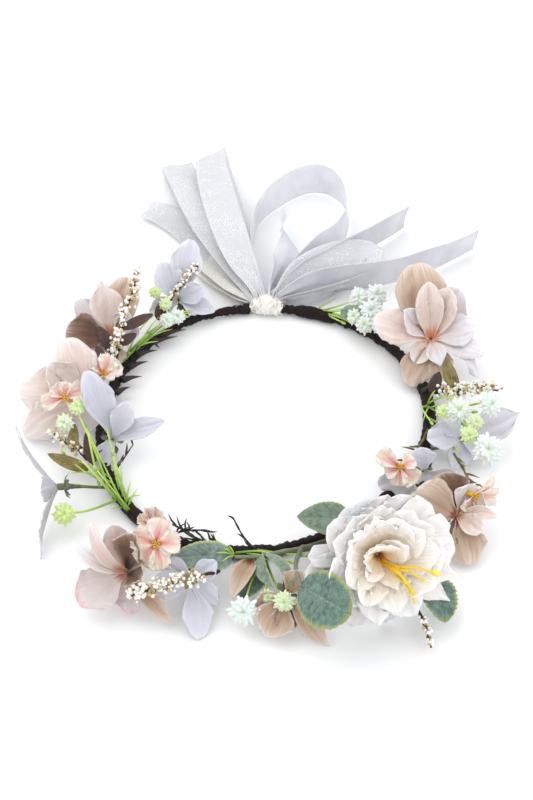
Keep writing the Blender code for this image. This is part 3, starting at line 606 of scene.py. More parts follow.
# shapes that petals are pressed into
SHAPES = {
    "flat": dict(bend=-15, cup=0.25, ruffle=0.05),
    "dome": dict(outline="broad", bend=-60, cup=-0.8, base_cup=0.3, crease=0.16, folds=5,
                 ruffle=0.03),
    "arched": dict(bend=-50, cup=-0.35, base_cup=0.5, crease=0.13, folds=4, ruffle=0.06),
    "cupped": dict(bend=35, cup=0.75, base_cup=1.0, crease=0.10, folds=3, ruffle=0.05),
    "folded": dict(outline="broad", bend=-20, cup=0.7, crease=0.20, folds=2, ruffle=0.06),
    "rolled": dict(bend=-95, cup=-0.2, base_cup=0.6, ruffle=0.09, waves=3.0, crease=0.10, folds=4),
    "thin": dict(outline="strap", bend=-70, cup=0.9, sweep=0.5, crease=0.2),
    "pointed": dict(outline="pointed", bend=-35, cup=0.45, crease=0.16, ruffle=0.05, folds=3),
    "curled": dict(outline="pointed", bend=-70, cup=0.6, crease=0.2, ruffle=0.06, twist=25),
    "lily": dict(outline="strap", bend=-30, cup=0.45, crease=0.14, ruffle=0.05),
    "lily_long": dict(outline="round", bend=-25, cup=0.6, base_cup=0.9, crease=0.10, ruffle=0.05),
    "blossom": dict(outline="fan", bend=-30, cup=0.45, crease=0.20, folds=3, ruffle=0.13,
                    teeth=0.22, rows=18, cols=21),
    "smooth": dict(outline="broad", bend=-30, cup=0.35, ruffle=0.06, waves=1.6, crease=0.06,
                   folds=3, notch=0.03),
    "ruffled": dict(outline="broad", bend=-25, cup=0.3, ruffle=0.11, waves=2.6, crease=0.08,
                    folds=4, notch=0.06,
                    rows=30, cols=27),
    "block": dict(outline="block", bend=-20, cup=0.3, ruffle=0.05, waves=1.4, crease=0.06, folds=3,
                  notch=0.03),
    "tongue": dict(outline="pointed", bend=-25, cup=0.5, ruffle=0.05, crease=0.12, folds=2),
}
# the first of a petal skin's two materials in its flower's list: the second is its back
SKINS = {"tan": 0, "blush": 2, "white": 4, "shade": 6, "rosy": 8, "mist": 2, "gold": 4}
PRESSED = 1.0   # petals that reach lower than this are pressed flat by the table


def bloom(name, at, facing, petals, materials, seed, throat=0.7, thickness=0.35):
    """A flower's petals as one cloth object, each cloth's face toward the flower's own heart.

    A petal is (turn, opening, length, width, shape, skin)."""
    cloth = Patchwork()
    basis = facing_basis(facing)
    for k, (turn, opening, length, width, shape, *skin) in enumerate(petals):
        sheet = petal_sheet(length - 0.6 * throat, width, seed=seed * 100 + 7 * k, **SHAPES[shape])
        start, frame_of = petal_place(turn, opening, throat)
        points = (sheet @ frame_of.T + start) @ basis.T + np.array(at, float)
        height = points[..., 2]
        points[..., 2] = np.where(height < PRESSED, PRESSED + 0.15 * (height - PRESSED), height)
        tone = RANDOM.uniform(0, 1)
        cloth.grid(points[:, ::-1], tone, SKINS.get(skin[0], 0) if skin else 0)
    return cloth.object(name, materials, thickness)


MAGNOLIA = [MATERIALS[k] for k in ("tan_in", "tan_out", "blush_in", "blush_out", "white_in",
                                   "white_out",
                                  "shade_in", "shade_out", "rosy_in", "rosy_out")]
LILY = [MATERIALS["lilac_in"], MATERIALS["lilac_out"]]
PINK = [MATERIALS["pink_in"], MATERIALS["pink_out"]]
IVORY = [MATERIALS[k] for k in ("ivory_in", "ivory_out", "mist_in", "mist_out", "gold_in",
                                "gold_out")]

# name: throat, facing (heading, rise) and petals
MAGNOLIAS = {
    "magnolia_1_petals": ((95, 47, 20), (-93, 67), [(-76, 67, 44, 32, "dome", "tan"),
        (-118, 70, 33, 26, "cupped", "white"), (-13, 72, 35, 23, "arched", "blush"),
        (66, 100, 29, 20, "arched", "tan"), (145, 100, 34, 8, "thin", "white"),
        (103, 97, 23, 20, "arched", "tan")]),
    "magnolia_1_inner_petals": ((95, 47, 21), (-97, 64), [(-162, 69, 27, 21, "arched", "white"),
        (-80, 46, 34, 17, "folded", "blush"), (-108, 53, 31, 19, "folded", "blush"),
        (-30, 45, 25, 17, "cupped", "white"), (112, 80, 18, 12, "pointed", "white"),
        (62, 86, 17, 13, "folded", "blush"), (168, 84, 31, 15, "arched", "white")]),
    "magnolia_2_petals": ((101, -79, 18), (-69, 42), [(-134, 78, 18, 20, "cupped", "white"),
        (-81, 100, 23, 28, "cupped", "shade"), (-37, 90, 27, 28, "rolled", "tan"),
        (55, 76, 22, 18, "arched", "shade"), (87, 74, 26, 23, "arched", "tan"),
        (127, 46, 16, 12, "folded", "blush"), (165, 70, 20, 8, "thin", "blush")]),
    "magnolia_3_petals": ((-68, -114, 16), (-122, 67), [(-48, 55, 25, 19, "cupped", "blush"),
        (-24, 47, 33, 8, "thin", "blush"), (4, 62, 32, 9, "thin", "white"),
        (66, 78, 29, 28, "cupped", "rosy"), (128, 95, 22, 17, "cupped", "rosy"),
        (160, 102, 37, 9, "curled", "tan"), (-96, 34, 25, 23, "cupped", "shade"),
        (170, 42, 21, 17, "cupped", "shade")]),
    "magnolia_4_petals": ((-98, 6, 16), (-73, 56), [(-115, 94, 22, 20, "cupped", "blush"),
        (-86, 76, 34, 26, "arched", "blush"), (-50, 65, 28, 22, "cupped", "blush"),
        (-20, 88, 35, 30, "arched", "blush"), (18, 98, 38, 22, "rolled", "blush"),
        (75, 100, 19, 20, "flat", "white")]),
    "magnolia_5_petals": ((-86, 53, 16), (-71, 67), [(-120, 74, 36, 22, "dome", "tan"),
        (-93, 63, 33, 20, "pointed", "blush"), (-64, 88, 30, 19, "cupped", "white"),
        (-15, 80, 26, 28, "cupped", "shade"), (67, 97, 16, 20, "flat", "tan"),
        (165, 58, 18, 17, "cupped", "white"), (-150, 50, 18, 15, "cupped", "white")]),
    "magnolia_6_petals": ((12, -129, 16), (-90, 41), [(-124, 98, 14, 15, "flat", "tan"),
        (62, 68, 22, 23, "cupped", "tan"), (96, 84, 17, 16, "cupped", "shade"),
        (131, 81, 33, 11, "pointed", "tan"), (20, 80, 17, 14, "cupped", "tan")]),
}
LILIES = {
    "lily_1": ((-49, 86, 14), (-81, 55), [(-165, 68, 17, 14, "lily"),
        (-109, 84, 36, 20, "lily_long"), (-70, 80, 24, 18, "lily"), (16, 98, 18, 12, "lily"),
        (156, 88, 22, 11, "lily")]),
    "lily_2": ((-81, -21, 12), (-63, 64), [(-136, 52, 23, 14, "lily_long"),
        (-86, 65, 40, 19, "lily_long"), (38, 100, 19, 12, "lily"), (173, 65, 30, 12, "lily")]),
    "lily_3": ((-107, -60, 18), (-174, 0), [(-134, 57, 16, 14, "lily"),
        (-40, 59, 39, 12, "lily"), (33, 63, 17, 13, "lily"), (153, 73, 39, 12, "lily")]),
    "lily_4": ((-36, -118, 14), (-62, 49), [(-165, 80, 16, 12, "lily"),
        (-57, 100, 18, 12, "lily"), (-12, 92, 22, 15, "lily"), (74, 76, 30, 17, "lily_long"),
        (118, 79, 18, 12, "lily")]),
    "lily_5": ((108, -21, 12), (-41, 60), [(-89, 104, 13, 14, "lily_long"),
        (-42, 94, 20, 18, "lily_long"), (32, 100, 17, 14, "lily"), (103, 77, 19, 14, "lily"),
        (162, 66, 35, 20, "pointed")]),
    "lily_6": ((86, -44, 12), (-78, 28), [(-89, 100, 13, 16, "lily_long"),
        (8, 92, 25, 19, "lily_long"), (81, 65, 18, 14, "lily"), (152, 68, 21, 18, "lily_long")]),
}
BLOSSOMS = {
    "blossom_1": ((-53, -108, 31), (-90, 47), [(-173, 82, 11.5, 12), (-101, 80, 12.5, 13),
        (-20, 84, 12, 13), (48, 82, 12, 12), (101, 80, 12.5, 12)]),
    "blossom_2": ((73, -50, 22), (-133, 62), [(-116, 87, 8, 11), (5, 54, 14, 11),
        (55, 78, 8, 11), (125, 100, 9, 11), (173, 100, 11, 12)]),
    "blossom_3": ((109, -72, 26), (-30, 4), [(14, 100, 9, 12), (80, 68, 8, 11),
        (120, 60, 10, 11), (152, 47, 14, 11), (-140, 55, 13, 11)]),
    "blossom_4": ((-107, -7, 30), (-57, 55), [(-127, 74, 8, 10), (-64, 88, 8, 10),
        (-10, 98, 12, 10), (125, 80, 8, 10), (179, 62, 12, 11)]),
    "blossom_5": ((-88, 16, 24), (-25, 67), [(-165, 47, 11, 12), (-103, 69, 9, 11),
        (-31, 98, 8, 10), (107, 47, 8, 11), (134, 54, 11, 10)]),
    "blossom_behind": ((-57, -85, 20), (-67, 58), [(-130, 40, 9, 9), (-70, 35, 10, 9),
        (-11, 60, 8, 9), (66, 50, 8, 9), (136, 45, 9, 9)]),
}


GOLDEN_ANGLE = 137.5


def build_magnolias():
    for k, (name, (at, facing, petals)) in enumerate(MAGNOLIAS.items()):
        obj = bloom(name.replace("petals", "silk"), at, facing, petals, MAGNOLIA, 10 + k)
        wear(obj, "crown", name)


def build_lilies():
    for k, (name, (at, facing, petals)) in enumerate(LILIES.items()):
        obj = bloom(name + "_silk", at, facing, petals, LILY, 30 + k)
        wear(obj, "lily_3" if name == "lily_3" else "crown", name + "_petals")


def build_blossoms():
    """Five toothed petals each, with an orange heart of stamens and an orange tube behind."""
    for k, (name, (at, facing, petals)) in enumerate(BLOSSOMS.items()):
        obj = bloom(name + "_silk", at, facing, [(*petal, "blossom") for petal in petals], PINK,
                    50 + k, 0.6, 0.25)
        wear(obj, "crown", name + "_petals" if name != "blossom_behind" else None)
        heart = Patchwork()
        basis = facing_basis(facing)
        for i in range(13):
            a = math.radians(GOLDEN_ANGLE * i)
            way = np.array((math.cos(a), math.sin(a), 0)) * 0.42 * math.sqrt(i + 0.5)
            tip = way * 2.0 + (0, 0, 3.2 - 0.14 * i)
            foot = way * 0.6 + (0, 0, -0.4)
            path = spline([foot, (foot + tip) / 2 + (0, 0, 0.3), tip], 5) @ basis.T + np.array(at)
            heart.tube(path, 0.16, 6, 0.3)
            heart.ball(path[-1], 0.5, (1, 1, 1.4), basis, 5, 7, 0.4, 1)
        back = spline([(0, 0, -7), (0, 0, -4), (0, 0, -1.5), (0, 0, 0.2)],
                      7) @ basis.T + np.array(at)
        heart.tube(back, [0.7, 0.9, 1.2, 1.45, 1.5, 1.3, 0.9], 9, 0.5, 1)
        wear(heart.object(name + "_heart", [MATERIALS["stamen"], MATERIALS["anther"]]), "crown")


def build_calyxes():
    """A small green-brown cup behind each large bloom, where its petals are bound to the stem."""
    for group, slot in ((MAGNOLIAS, "magnolia_silk"), (LILIES, "lily_silk")):
        for name, (at, facing, _) in group.items():
            if "inner" in name:
                continue
            basis = facing_basis(facing)
            cup = Patchwork()
            route = spline([(0, 0, -8), (0, 0, -6), (0, 0, -4), (0, 0, -2.2)],
                           9) @ basis.T + np.array(at)
            cup.tube(route, [1.0, 1.1, 1.3, 1.7, 2.1, 2.3, 2.1, 1.5, 0.7], 14, 0.5)
            for k in range(5):
                start, frame_of = petal_place(72 * k + 20, 118, 1.2)
                sepal = petal_sheet(6.5, 3.4, "pointed", seed=k, rows=9,
                                    cols=7) @ frame_of.T + start + (0, 0, -3.0)
                cup.grid(sepal @ basis.T + np.array(at), 0.4)
            body = "lily_3" if name == "lily_3" else "crown"
            wear(cup.object(name.replace("_petals", "") + "_calyx", [MATERIALS["grey_green"]]),
                 body)


# ================================ Peony ================================
PEONY_AT, PEONY_FACING = (56, -121, 41), (-76, 34)
# name: CAD node or None, how far along the facing it starts, and its petals
PEONY = {
    "peony_outer": ("peony_outer_petals", -3.0, [(-88, 96, 26, 26, "smooth", "mist"),
        (-112, 94, 28, 24, "ruffled", "mist"), (-133, 93, 32, 22, "smooth", "mist"),
        (-152, 92, 36, 20, "block"), (-173, 90, 40, 17, "block"), (168, 92, 42, 19, "block"),
        (152, 88, 48, 14, "tongue"), (136, 88, 48, 15, "tongue"), (114, 94, 39, 24, "smooth"),
        (92, 98, 42, 28, "ruffled", "mist"), (68, 96, 41, 24, "smooth", "mist"),
        (42, 94, 35, 26, "smooth", "mist"), (16, 96, 37, 22, "smooth", "mist"),
        (-6, 90, 33, 12, "block", "mist"), (-38, 90, 27, 22, "smooth"),
        (-64, 94, 26, 24, "smooth", "mist")]),
    "peony_middle": ("peony_middle_petals", 0.5, [(-100, 70, 27, 25, "ruffled"),
        (-66, 72, 25, 24, "smooth"), (-134, 70, 29, 20, "smooth"), (-160, 72, 31, 19, "smooth"),
        (172, 70, 34, 19, "block"), (146, 75, 34, 25, "smooth"), (112, 76, 37, 26, "ruffled"),
        (80, 73, 35, 24, "ruffled"), (44, 74, 30, 24, "smooth"), (12, 72, 28, 20, "smooth"),
        (-30, 70, 26, 20, "smooth")]),
    "peony_inner": ("peony_inner_petals", 2.0, [(-84, 52, 27, 25, "ruffled", "gold"),
        (-120, 54, 27, 23, "smooth", "gold"), (-152, 58, 28, 20, "smooth", "gold"),
        (178, 64, 31, 22, "smooth", "gold"), (142, 69, 33, 25, "ruffled", "gold"),
        (98, 62, 31, 21, "ruffled", "gold"), (60, 58, 27, 18, "folded", "gold"),
        (22, 55, 25, 19, "smooth", "gold"), (-40, 52, 25, 21, "smooth", "gold")]),
    "peony_heart": (None, 3.0, [(-96, 24, 22, 18, "smooth", "gold"),
        (-34, 28, 21, 16, "folded", "gold"), (36, 34, 19, 13, "folded", "gold"),
        (-150, 36, 21, 15, "smooth", "gold"), (108, 50, 21, 12, "tongue", "gold")]),
}


def build_peony():
    basis = facing_basis(PEONY_FACING)
    for n, (name, (node, lift, petals)) in enumerate(PEONY.items()):
        at = np.array(PEONY_AT) + basis[:, 2] * lift
        obj = bloom(name + "_silk", at, PEONY_FACING, petals, IVORY, 80 + n, throat=1.5,
                    thickness=0.3)
        wear(obj, "crown", node)
    build_stamens(basis)


def build_stamens(basis):
    """Long limp stamens that spill out of the heart toward the lower right."""
    threads = Patchwork()
    # end of each thread in the flower's frame, and how thick its anther is
    ends = [(-12, 23, 18, 0.6), (-11, 16.5, 19, 0.8), (-12.5, 18.5, 18, 0.6),
            (-17.5, 12.5, 19, 0.9),
            (-24, 10, 19, 1.6), (-8, 11, 20, 0.7)]
    for k, (x, y, z, anther) in enumerate(ends):
        route = [(0.3 * k - 2, 0.3 * k + 2, 5), (x * 0.15 - 2, y * 0.2 + 2, z * 0.8),
                 (x * 0.6 - 1, y * 0.55, z * 1.02), (x, y, z)]
        path = spline(route, 14) @ basis.T + np.array(PEONY_AT)
        threads.tube(path, np.linspace(1.0, 0.42, 14), 8, 0.7)
        tip = basis_toward(unit(path[-1] - path[-3]))
        threads.ball(path[-1], anther, (1, 1, 1.9), tip, 7, 9, 0.6, 1)
    obj = threads.object("peony_stamen_threads", [MATERIALS["stamen"], MATERIALS["pollen"]])
    wear(obj, "crown", "peony_stamens")


# ================================ Leaves ================================
def leaf_sheet(base, tip, face, width, fold=0.18, arch=0.08, teeth=0.05, point=0.75, seed=0):
    """A leaf blade: ribbed, folded along its midrib, arched from base to tip.

    point is how drawn out the tip is: 0.5 is a round leaf."""
    rows, cols = 61, 17
    base, tip = np.array(base, float), np.array(tip, float)
    along = tip - base
    length = np.linalg.norm(along)
    along = along / length
    normal = np.array(face, float)
    normal = unit(normal - along * normal.dot(along))
    side = np.cross(along, normal)
    v = np.linspace(0, 1, rows)[:, None]
    u = np.linspace(-1, 1, cols)[None, :]
    widest = 0.5 / (0.5 + point)
    belly = (v ** 0.5 * (1 - v) ** point) / (widest ** 0.5 * (1 - widest) ** point)
    half = width / 2 * np.maximum(0.02, belly)
    saw = (v * 12) % 1.0
    half = half * (1 + teeth * (saw - 0.5) * eased(v, 0.08, 0.2))
    slant = v * 9 - np.abs(u) * 3.5
    rib = np.abs((slant % 1.0) - 0.5)
    pucker = (0.5 - np.exp(-(rib / 0.14) ** 2)) * 0.025 * width * eased(1 - np.abs(u), 0.02, 0.3)
    midrib = -0.035 * width * np.exp(-(u / 0.07) ** 2)
    edge = 0.03 * width * wobble(v * 2, seed) * np.abs(u) ** 2
    z = fold * half * np.abs(u) + 4 * v * (1 - v) * arch * length + pucker + midrib + edge
    flat = base + along * (v * length)[..., None] + side * (u * half)[..., None]
    return flat + normal * z[..., None]


# body and CAD node of the leaves that have a node of their own
LEAF_NODES = {
    "sage_leaf_1_blade": ("crown", "sage_leaf_1"),
    "sage_leaf_2_blade": ("sage_leaf_2", "sage_leaf_2"),
    "sage_leaf_3_blade": ("crown", "sage_leaf_3"),
    "sage_leaf_4_blade": ("crown", "sage_leaf_4"),
}
# name: material, base, tip, the way it faces, width and what else shapes it
LEAVES = {
    "sage_leaf_1_blade": ("limed_sage", (-15, -103, 14), (-46, -107, 19), (-10, -50, 80), 16),
    "sage_leaf_2_blade": ("sage", (46, -82, 16), (18, -84, 23), (0, -40, 80), 18),
    "sage_leaf_3_blade": ("deep_sage", (19, -132, 28), (43, -156, 37), (-14, -60, 68), 28,
        dict(teeth=0.09, arch=0.05, fold=0.08, point=0.5)),
    "sage_leaf_4_blade": ("deep_sage", (84, -113, 12), (91, -141, 10), (30, -60, 60), 20,
        dict(teeth=0.12, point=0.6)),
    "sage_leaf_folded_1": ("sage", (0, -102, 15), (5, -125, 18), (-70, -40, 60), 9,
        dict(fold=0.5)),
    "sage_leaf_folded_2": ("sage", (1, -103, 16), (15, -127, 21), (60, -50, 60), 9,
        dict(fold=0.5)),
    "sage_leaf_low": ("deep_sage", (0, -106, 9), (-12, -125, 7), (-10, -60, 60), 13,
        dict(teeth=0.10)),
    "loose_magnolia_petal": ("tan_in", (-5, -104, 12), (-15, -128, 12), (-30, -60, 60), 11,
        dict(teeth=0.0, fold=0.5)),
    "sage_leaf_behind": ("sage", (46, 82, 9), (62, 71, 12), (0, -50, 80), 10),
    "olive_bud_front": ("golden", (-35, -121, 24), (-38, -131, 24), (20, -60, 60), 6,
        dict(fold=0.6)),
    "golden_leaf_right": ("golden", (108, 12, 14), (102, 30, 23), (-30, -60, 60), 8,
        dict(fold=0.4)),
    "russet_leaf_right": ("russet", (94, 17, 9), (99, 27, 15), (10, -60, 60), 7, dict(fold=0.3)),
    "golden_leaf_back": ("golden", (-53, 89, 14), (-45, 98, 22), (10, -60, 60), 7,
        dict(fold=0.4)),
    "russet_leaf_back": ("russet", (-60, 71, 12), (-56, 81, 20), (10, -60, 60), 8,
        dict(fold=0.3)),
    "russet_leaf_berry_1": ("russet", (-84, 39, 18), (-92, 50, 28), (10, -60, 60), 7,
        dict(fold=0.3)),
    "russet_leaf_berry_2": ("russet", (-81, 42, 22), (-71, 48, 24), (10, -60, 60), 6,
        dict(fold=0.3)),
    "russet_leaf_berry_3": ("russet", (-79, 48, 28), (-62, 60, 28), (10, -60, 60), 6,
        dict(fold=0.3)),
    "russet_leaf_berry_4": ("russet", (-87, 27, 17), (-93, 38, 25), (10, -60, 60), 6,
        dict(fold=0.3)),
    "russet_leaf_left_1": ("golden", (-93, -41, 10), (-115, -34, 15), (0, -60, 60), 7),
    "russet_leaf_left_2": ("russet", (-91, -37, 10), (-95, -21, 18), (20, -60, 60), 7),
    "russet_leaf_left_3": ("golden", (-102, -32, 14), (-101, -18, 21), (0, -60, 60), 6),
}


def build_leaves():
    for k, (name, (skin, base, tip, face, width, *more)) in enumerate(LEAVES.items()):
        shaped = more[0] if more else {}
        body, node = LEAF_NODES.get(name, ("crown", None))
        blade = Patchwork()
        blade.grid(leaf_sheet(base, tip, face, width, seed=200 + k, **shaped), RANDOM.uniform(0, 1))
        obj = blade.object(name, [MATERIALS[skin]] * 2, 0.35)
        wear(obj, body, node)


# ================================ Sprays, daisies and twigs ================================
# name: body, CAD node or None, stem points, number of beads, spread in mm
SPRAYS = {
    "berry_spray_1": ("crown", "berry_spray_1", [(-87, 33, 8), (-84, 38, 20), (-79, 49, 31),
        (-74, 64, 39), (-70, 80, 44)], 150, 5.0),
    "berry_spray_2": ("crown", "berry_spray_2", [(94, 22, 8), (101, 14, 13), (110, 9, 18),
        (119, 7, 22), (129, 3, 25)], 160, 5.2),
    "berry_spray_3": ("crown", "berry_spray_3", [(-22, -112, 14), (-33, -123, 23),
        (-45, -128, 25), (-56, -131, 24), (-65, -133, 21)], 170, 5.2),
    "berry_spray_4": ("berry_spray_4", "berry_spray_4", [(77, -134, 12), (80, -139, 10),
        (82, -145, 7), (84, -153, 5)], 34, 2.8),
    "berry_spray_back": ("crown", None, [(-58, 80, 12), (-50, 87, 20), (-44, 93, 26),
        (-38, 98, 30)], 60, 3.8),
    "berry_spray_left": ("crown", None, [(-90, -36, 8), (-99, -31, 14), (-108, -27, 18),
        (-114, -23, 22)], 56, 3.8),
}


BARE_STEM = 0.22    # share of a spray's stem below its first bead
PALE_BEADS = 0.78   # share of the beads that are white: the rest are gold-brown


def build_sprays():
    """Branching brown stems set with small pearly beads."""
    for n, (name, (body, node, points, beads, spread)) in enumerate(SPRAYS.items()):
        r = np.random.default_rng(300 + n)
        spray = Patchwork()
        path = spline(points, 40)
        path = path + np.stack([wobble(np.linspace(0, 3, 40), 310 + n + k) * 0.5
                                for k in range(3)], axis=-1)
        spray.tube(path, np.linspace(0.95, 0.5, 40), 8, 0.5)
        for k in range(beads):
            at = path[int(39 * (BARE_STEM + (1 - BARE_STEM) * (k + r.uniform()) / beads))]
            out = unit(r.normal(size=3) + (0, -0.2, 0.5))
            end = at + out * spread * r.uniform(0.25, 1.0)
            if k % 2 == 0:
                spray.tube(spline([at, (at + end) / 2 + (0, 0, 0.3), end], 4), 0.2, 5, 0.6)
            size = r.uniform(0.65, 1.25)
            tone = r.uniform(0, 0.5) if r.uniform() < PALE_BEADS else r.uniform(0.7, 1.0)
            spray.ball(end, size, (1, 1, r.uniform(0.9, 1.3)), None, 6, 8, tone, 1)
        obj = spray.object(name + "_beads", [MATERIALS["brown"], MATERIALS["berry"]])
        wear(obj, body, node)


DAISY_RAYS = 11
DAISY_LAYERS = ((1.0, 0.10), (0.86, 0.38), (0.58, 0.85))   # reach and lift of each layer's rays
RAY_GIRTH = (0.6, 1.0, 1.25, 1.2, 0.9, 0.35)   # in sixths of the daisy's radius


def star(work, centre, toward, radius, seed, green):
    """A moulded daisy: three layers of needle rays round a small dome."""
    r = np.random.default_rng(seed)
    basis = basis_toward(unit(np.array(toward, float)))
    for layer, (reach, lift) in enumerate(DAISY_LAYERS):
        for k in range(DAISY_RAYS):
            a = 2 * math.pi * (k + 0.5 * layer) / DAISY_RAYS + r.uniform(-0.08, 0.08)
            out = np.array((math.cos(a), math.sin(a), lift * r.uniform(0.6, 1.4)))
            tip = out * radius * reach * r.uniform(0.85, 1.05)
            path = spline([(0, 0, 0), tip * 0.5 + (0, 0, 0.5), tip], 6) @ basis.T + np.array(centre)
            work.tube(path, np.array(RAY_GIRTH) * radius / 6, 6, green, 1)
    work.ball(centre, radius * 0.24, (1, 1, 0.8), basis, 6, 10, 1.0, 1)


# name: body, CAD node or None, stems as point lists, heads as (place, facing, radius, green share)
PICKS = {
    "daisy_pick_1": ("crown", "daisy_pick_1", [[(38, 84, 6), (46, 83, 9), (52, 82, 12),
        (56, 82, 14)], [(46, 83, 9), (54, 76, 12), (59, 67, 14)],
        [(40, 83, 6), (48, 78, 8), (52, 73, 11)], [(46, 83, 9), (58, 78, 12), (65, 72, 15)]],
        [((63, 74, 17), (-20, -60, 75), 7.5, 0.0), ((56, 86, 16), (-10, -50, 75), 6.5, 0.0),
        ((66, 84, 20), (20, -50, 80), 7.0, 0.0), ((67, 63, 15), (20, -60, 75), 5.5, 0.1),
        ((53, 73, 13), (-30, -60, 75), 5.0, 0.2), ((59, 65, 14), (-10, -60, 75), 6.0, 0.1)]),
    "daisy_pick_2": ("daisy_pick_2", "daisy_pick_2", [[(97, 0, 8), (102, -4, 17), (106, -9, 26),
        (110, -15, 32)], [(103, -6, 18), (108, -23, 29), (110, -37, 33)],
        [(106, -10, 24), (116, -12, 31), (122, -16, 35)], [(100, -2, 13), (99, -8, 24),
        (97, -17, 31)], [(104, -18, 26), (112, -38, 34), (117, -49, 36)]],
        [((105, -20, 34), (-10, -60, 75), 7.5, 0.1), ((122, -17, 36), (20, -60, 70), 7.5, 0.0),
        ((117, -51, 38), (10, -60, 75), 9.0, 0.0), ((109, -38, 34), (0, -60, 75), 5.5, 0.8),
        ((97, -19, 32), (-10, -60, 75), 4.5, 0.9), ((113, -29, 35), (10, -60, 75), 4.5, 0.7)]),
    "daisy_pick_3": ("crown", "daisy_pick_3", [[(-77, -60, 8), (-82, -58, 15), (-88, -53, 20),
        (-95, -46, 23)], [(-77, -60, 8), (-86, -66, 9), (-94, -70, 10), (-103, -72, 11)],
        [(-86, -55, 12), (-90, -40, 18), (-93, -28, 24)], [(-80, -58, 10), (-90, -34, 20),
        (-99, -16, 27)]], [((-103, -73, 12), (0, -60, 75), 6.5, 1.0),
        ((-99, -13, 29), (-20, -40, 80), 5.5, 0.8), ((-106, -20, 24), (-20, -60, 75), 5.5, 0.4)]),
    "daisy_front": ("crown", None, [[(0, -103, 10), (-5, -115, 11), (-9, -132, 12)],
        [(2, -104, 12), (6, -118, 14), (11, -131, 15)], [(2, -104, 12), (2, -116, 14),
        (3, -128, 14)]], [((-9, -136, 13), (-10, -70, 65), 8.5, 0.0),
        ((11, -133, 17), (0, -70, 65), 6.0, 0.55), ((3, -129, 15), (0, -70, 65), 4.5, 0.7)]),
    "daisy_back": ("crown", None, [[(-76, 52, 6), (-66, 62, 10), (-55, 69, 14)],
        [(-66, 62, 10), (-52, 72, 15)]], [((-55, 68, 15), (0, -60, 75), 5.0, 0.1),
        ((-49, 71, 15), (0, -60, 75), 5.0, 0.0), ((-56, 77, 19), (10, -60, 75), 4.5, 0.7),
        ((-62, 84, 22), (10, -60, 75), 4.0, 0.9)]),
}


def build_picks():
    for n, (name, (body, node, stems, heads)) in enumerate(PICKS.items()):
        work = Patchwork()
        for points in stems:
            work.tube(spline(points, 18), np.linspace(0.75, 0.5, 18), 8, 0.5)
        for k, (centre, toward, radius, green) in enumerate(heads):
            star(work, centre, toward, radius, 400 + 10 * n + k, green)
        obj = work.object(name + "_mould", [MATERIALS["lime"], MATERIALS["daisy"]])
        wear(obj, body, node)


# lime filler stems: point lists
LIME_STEMS = [
    [(-71, -66, 6), (-78, -54, 10), (-86, -38, 15), (-95, -20, 21)],
    [(-70, -64, 6), (-76, -50, 9), (-80, -34, 14)], [(-72, -65, 6), (-84, -50, 9),
    (-97, -42, 12), (-106, -34, 15)], [(-70, -66, 7), (-80, -55, 12), (-88, -46, 16)],
    [(-69, -64, 6), (-76, -46, 10), (-86, -12, 20)], [(-78, 46, 5), (-68, 58, 7), (-58, 67, 8),
    (-46, 76, 9)], [(-79, 44, 6), (-66, 62, 9), (-54, 74, 11), (-40, 82, 11)],
    [(-76, 50, 5), (-62, 66, 8), (-50, 76, 10), (-34, 84, 9)],
    [(-78, 47, 6), (-72, 60, 12), (-64, 70, 16)], [(28, 88, 5), (38, 84, 7), (48, 82, 9),
    (60, 80, 9)], [(30, 86, 5), (42, 80, 7), (54, 72, 8)],
    [(34, 86, 5), (44, 86, 9), (52, 86, 13)], [(24, 90, 5), (34, 84, 6), (46, 76, 6)],
    [(91, 10, 6), (97, 2, 9), (105, 0, 10), (116, 0, 11)],
    [(91, 0, 7), (99, -8, 9), (110, -14, 10)], [(92, -6, 6), (98, -16, 10), (104, -28, 13)],
    [(92, 8, 7), (88, 2, 12), (92, -10, 14)], [(92, 10, 7), (98, 8, 14), (106, 4, 18)],
    [(98, -10, 9), (108, -18, 11), (118, -20, 12)], [(-3, -92, 6), (8, -98, 11), (20, -101, 13)],
    [(-14, -94, 6), (0, -98, 12), (14, -106, 14)],
]
# grass-like needles of the lime filler: root, tip
LIME_NEEDLES = [
    ((-78, -52, 10), (-92, -46, 14)), ((-80, -48, 11), (-98, -40, 16)),
    ((-76, -54, 9), (-82, -30, 12)), ((-74, -58, 8), (-76, -34, 10)),
    ((-82, -46, 12), (-104, -46, 13)), ((-72, -62, 7), (-70, -46, 8)),
    ((-71, -64, 7), (-66, -52, 8)), ((-84, -42, 13), (-92, -32, 20)),
    ((-73, -60, 7), (-64, -56, 7)), ((-74, -64, 6), (-80, -66, 7)), ((92, 6, 9), (88, -6, 9)),
    ((92, 4, 10), (102, 2, 14)), ((95, 0, 12), (110, 2, 16)), ((100, -6, 9), (112, -6, 10)),
    ((106, -12, 9), (116, -24, 10)), ((92, 10, 8), (96, 14, 14)), ((-70, 58, 7), (-60, 72, 14)),
    ((-66, 60, 8), (-52, 68, 8)), ((-72, 54, 7), (-60, 58, 8)), ((40, 82, 6), (52, 74, 6)),
    ((30, 86, 5), (42, 90, 9)), ((-8, -96, 8), (6, -104, 13)), ((4, -97, 9), (20, -96, 12)),
    ((-14, -103, 15), (-22, -100, 19)), ((-14, -103, 15), (-23, -105, 20)),
    ((-14, -103, 15), (-20, -109, 18)), ((-14, -103, 15), (-17, -98, 17)),
]
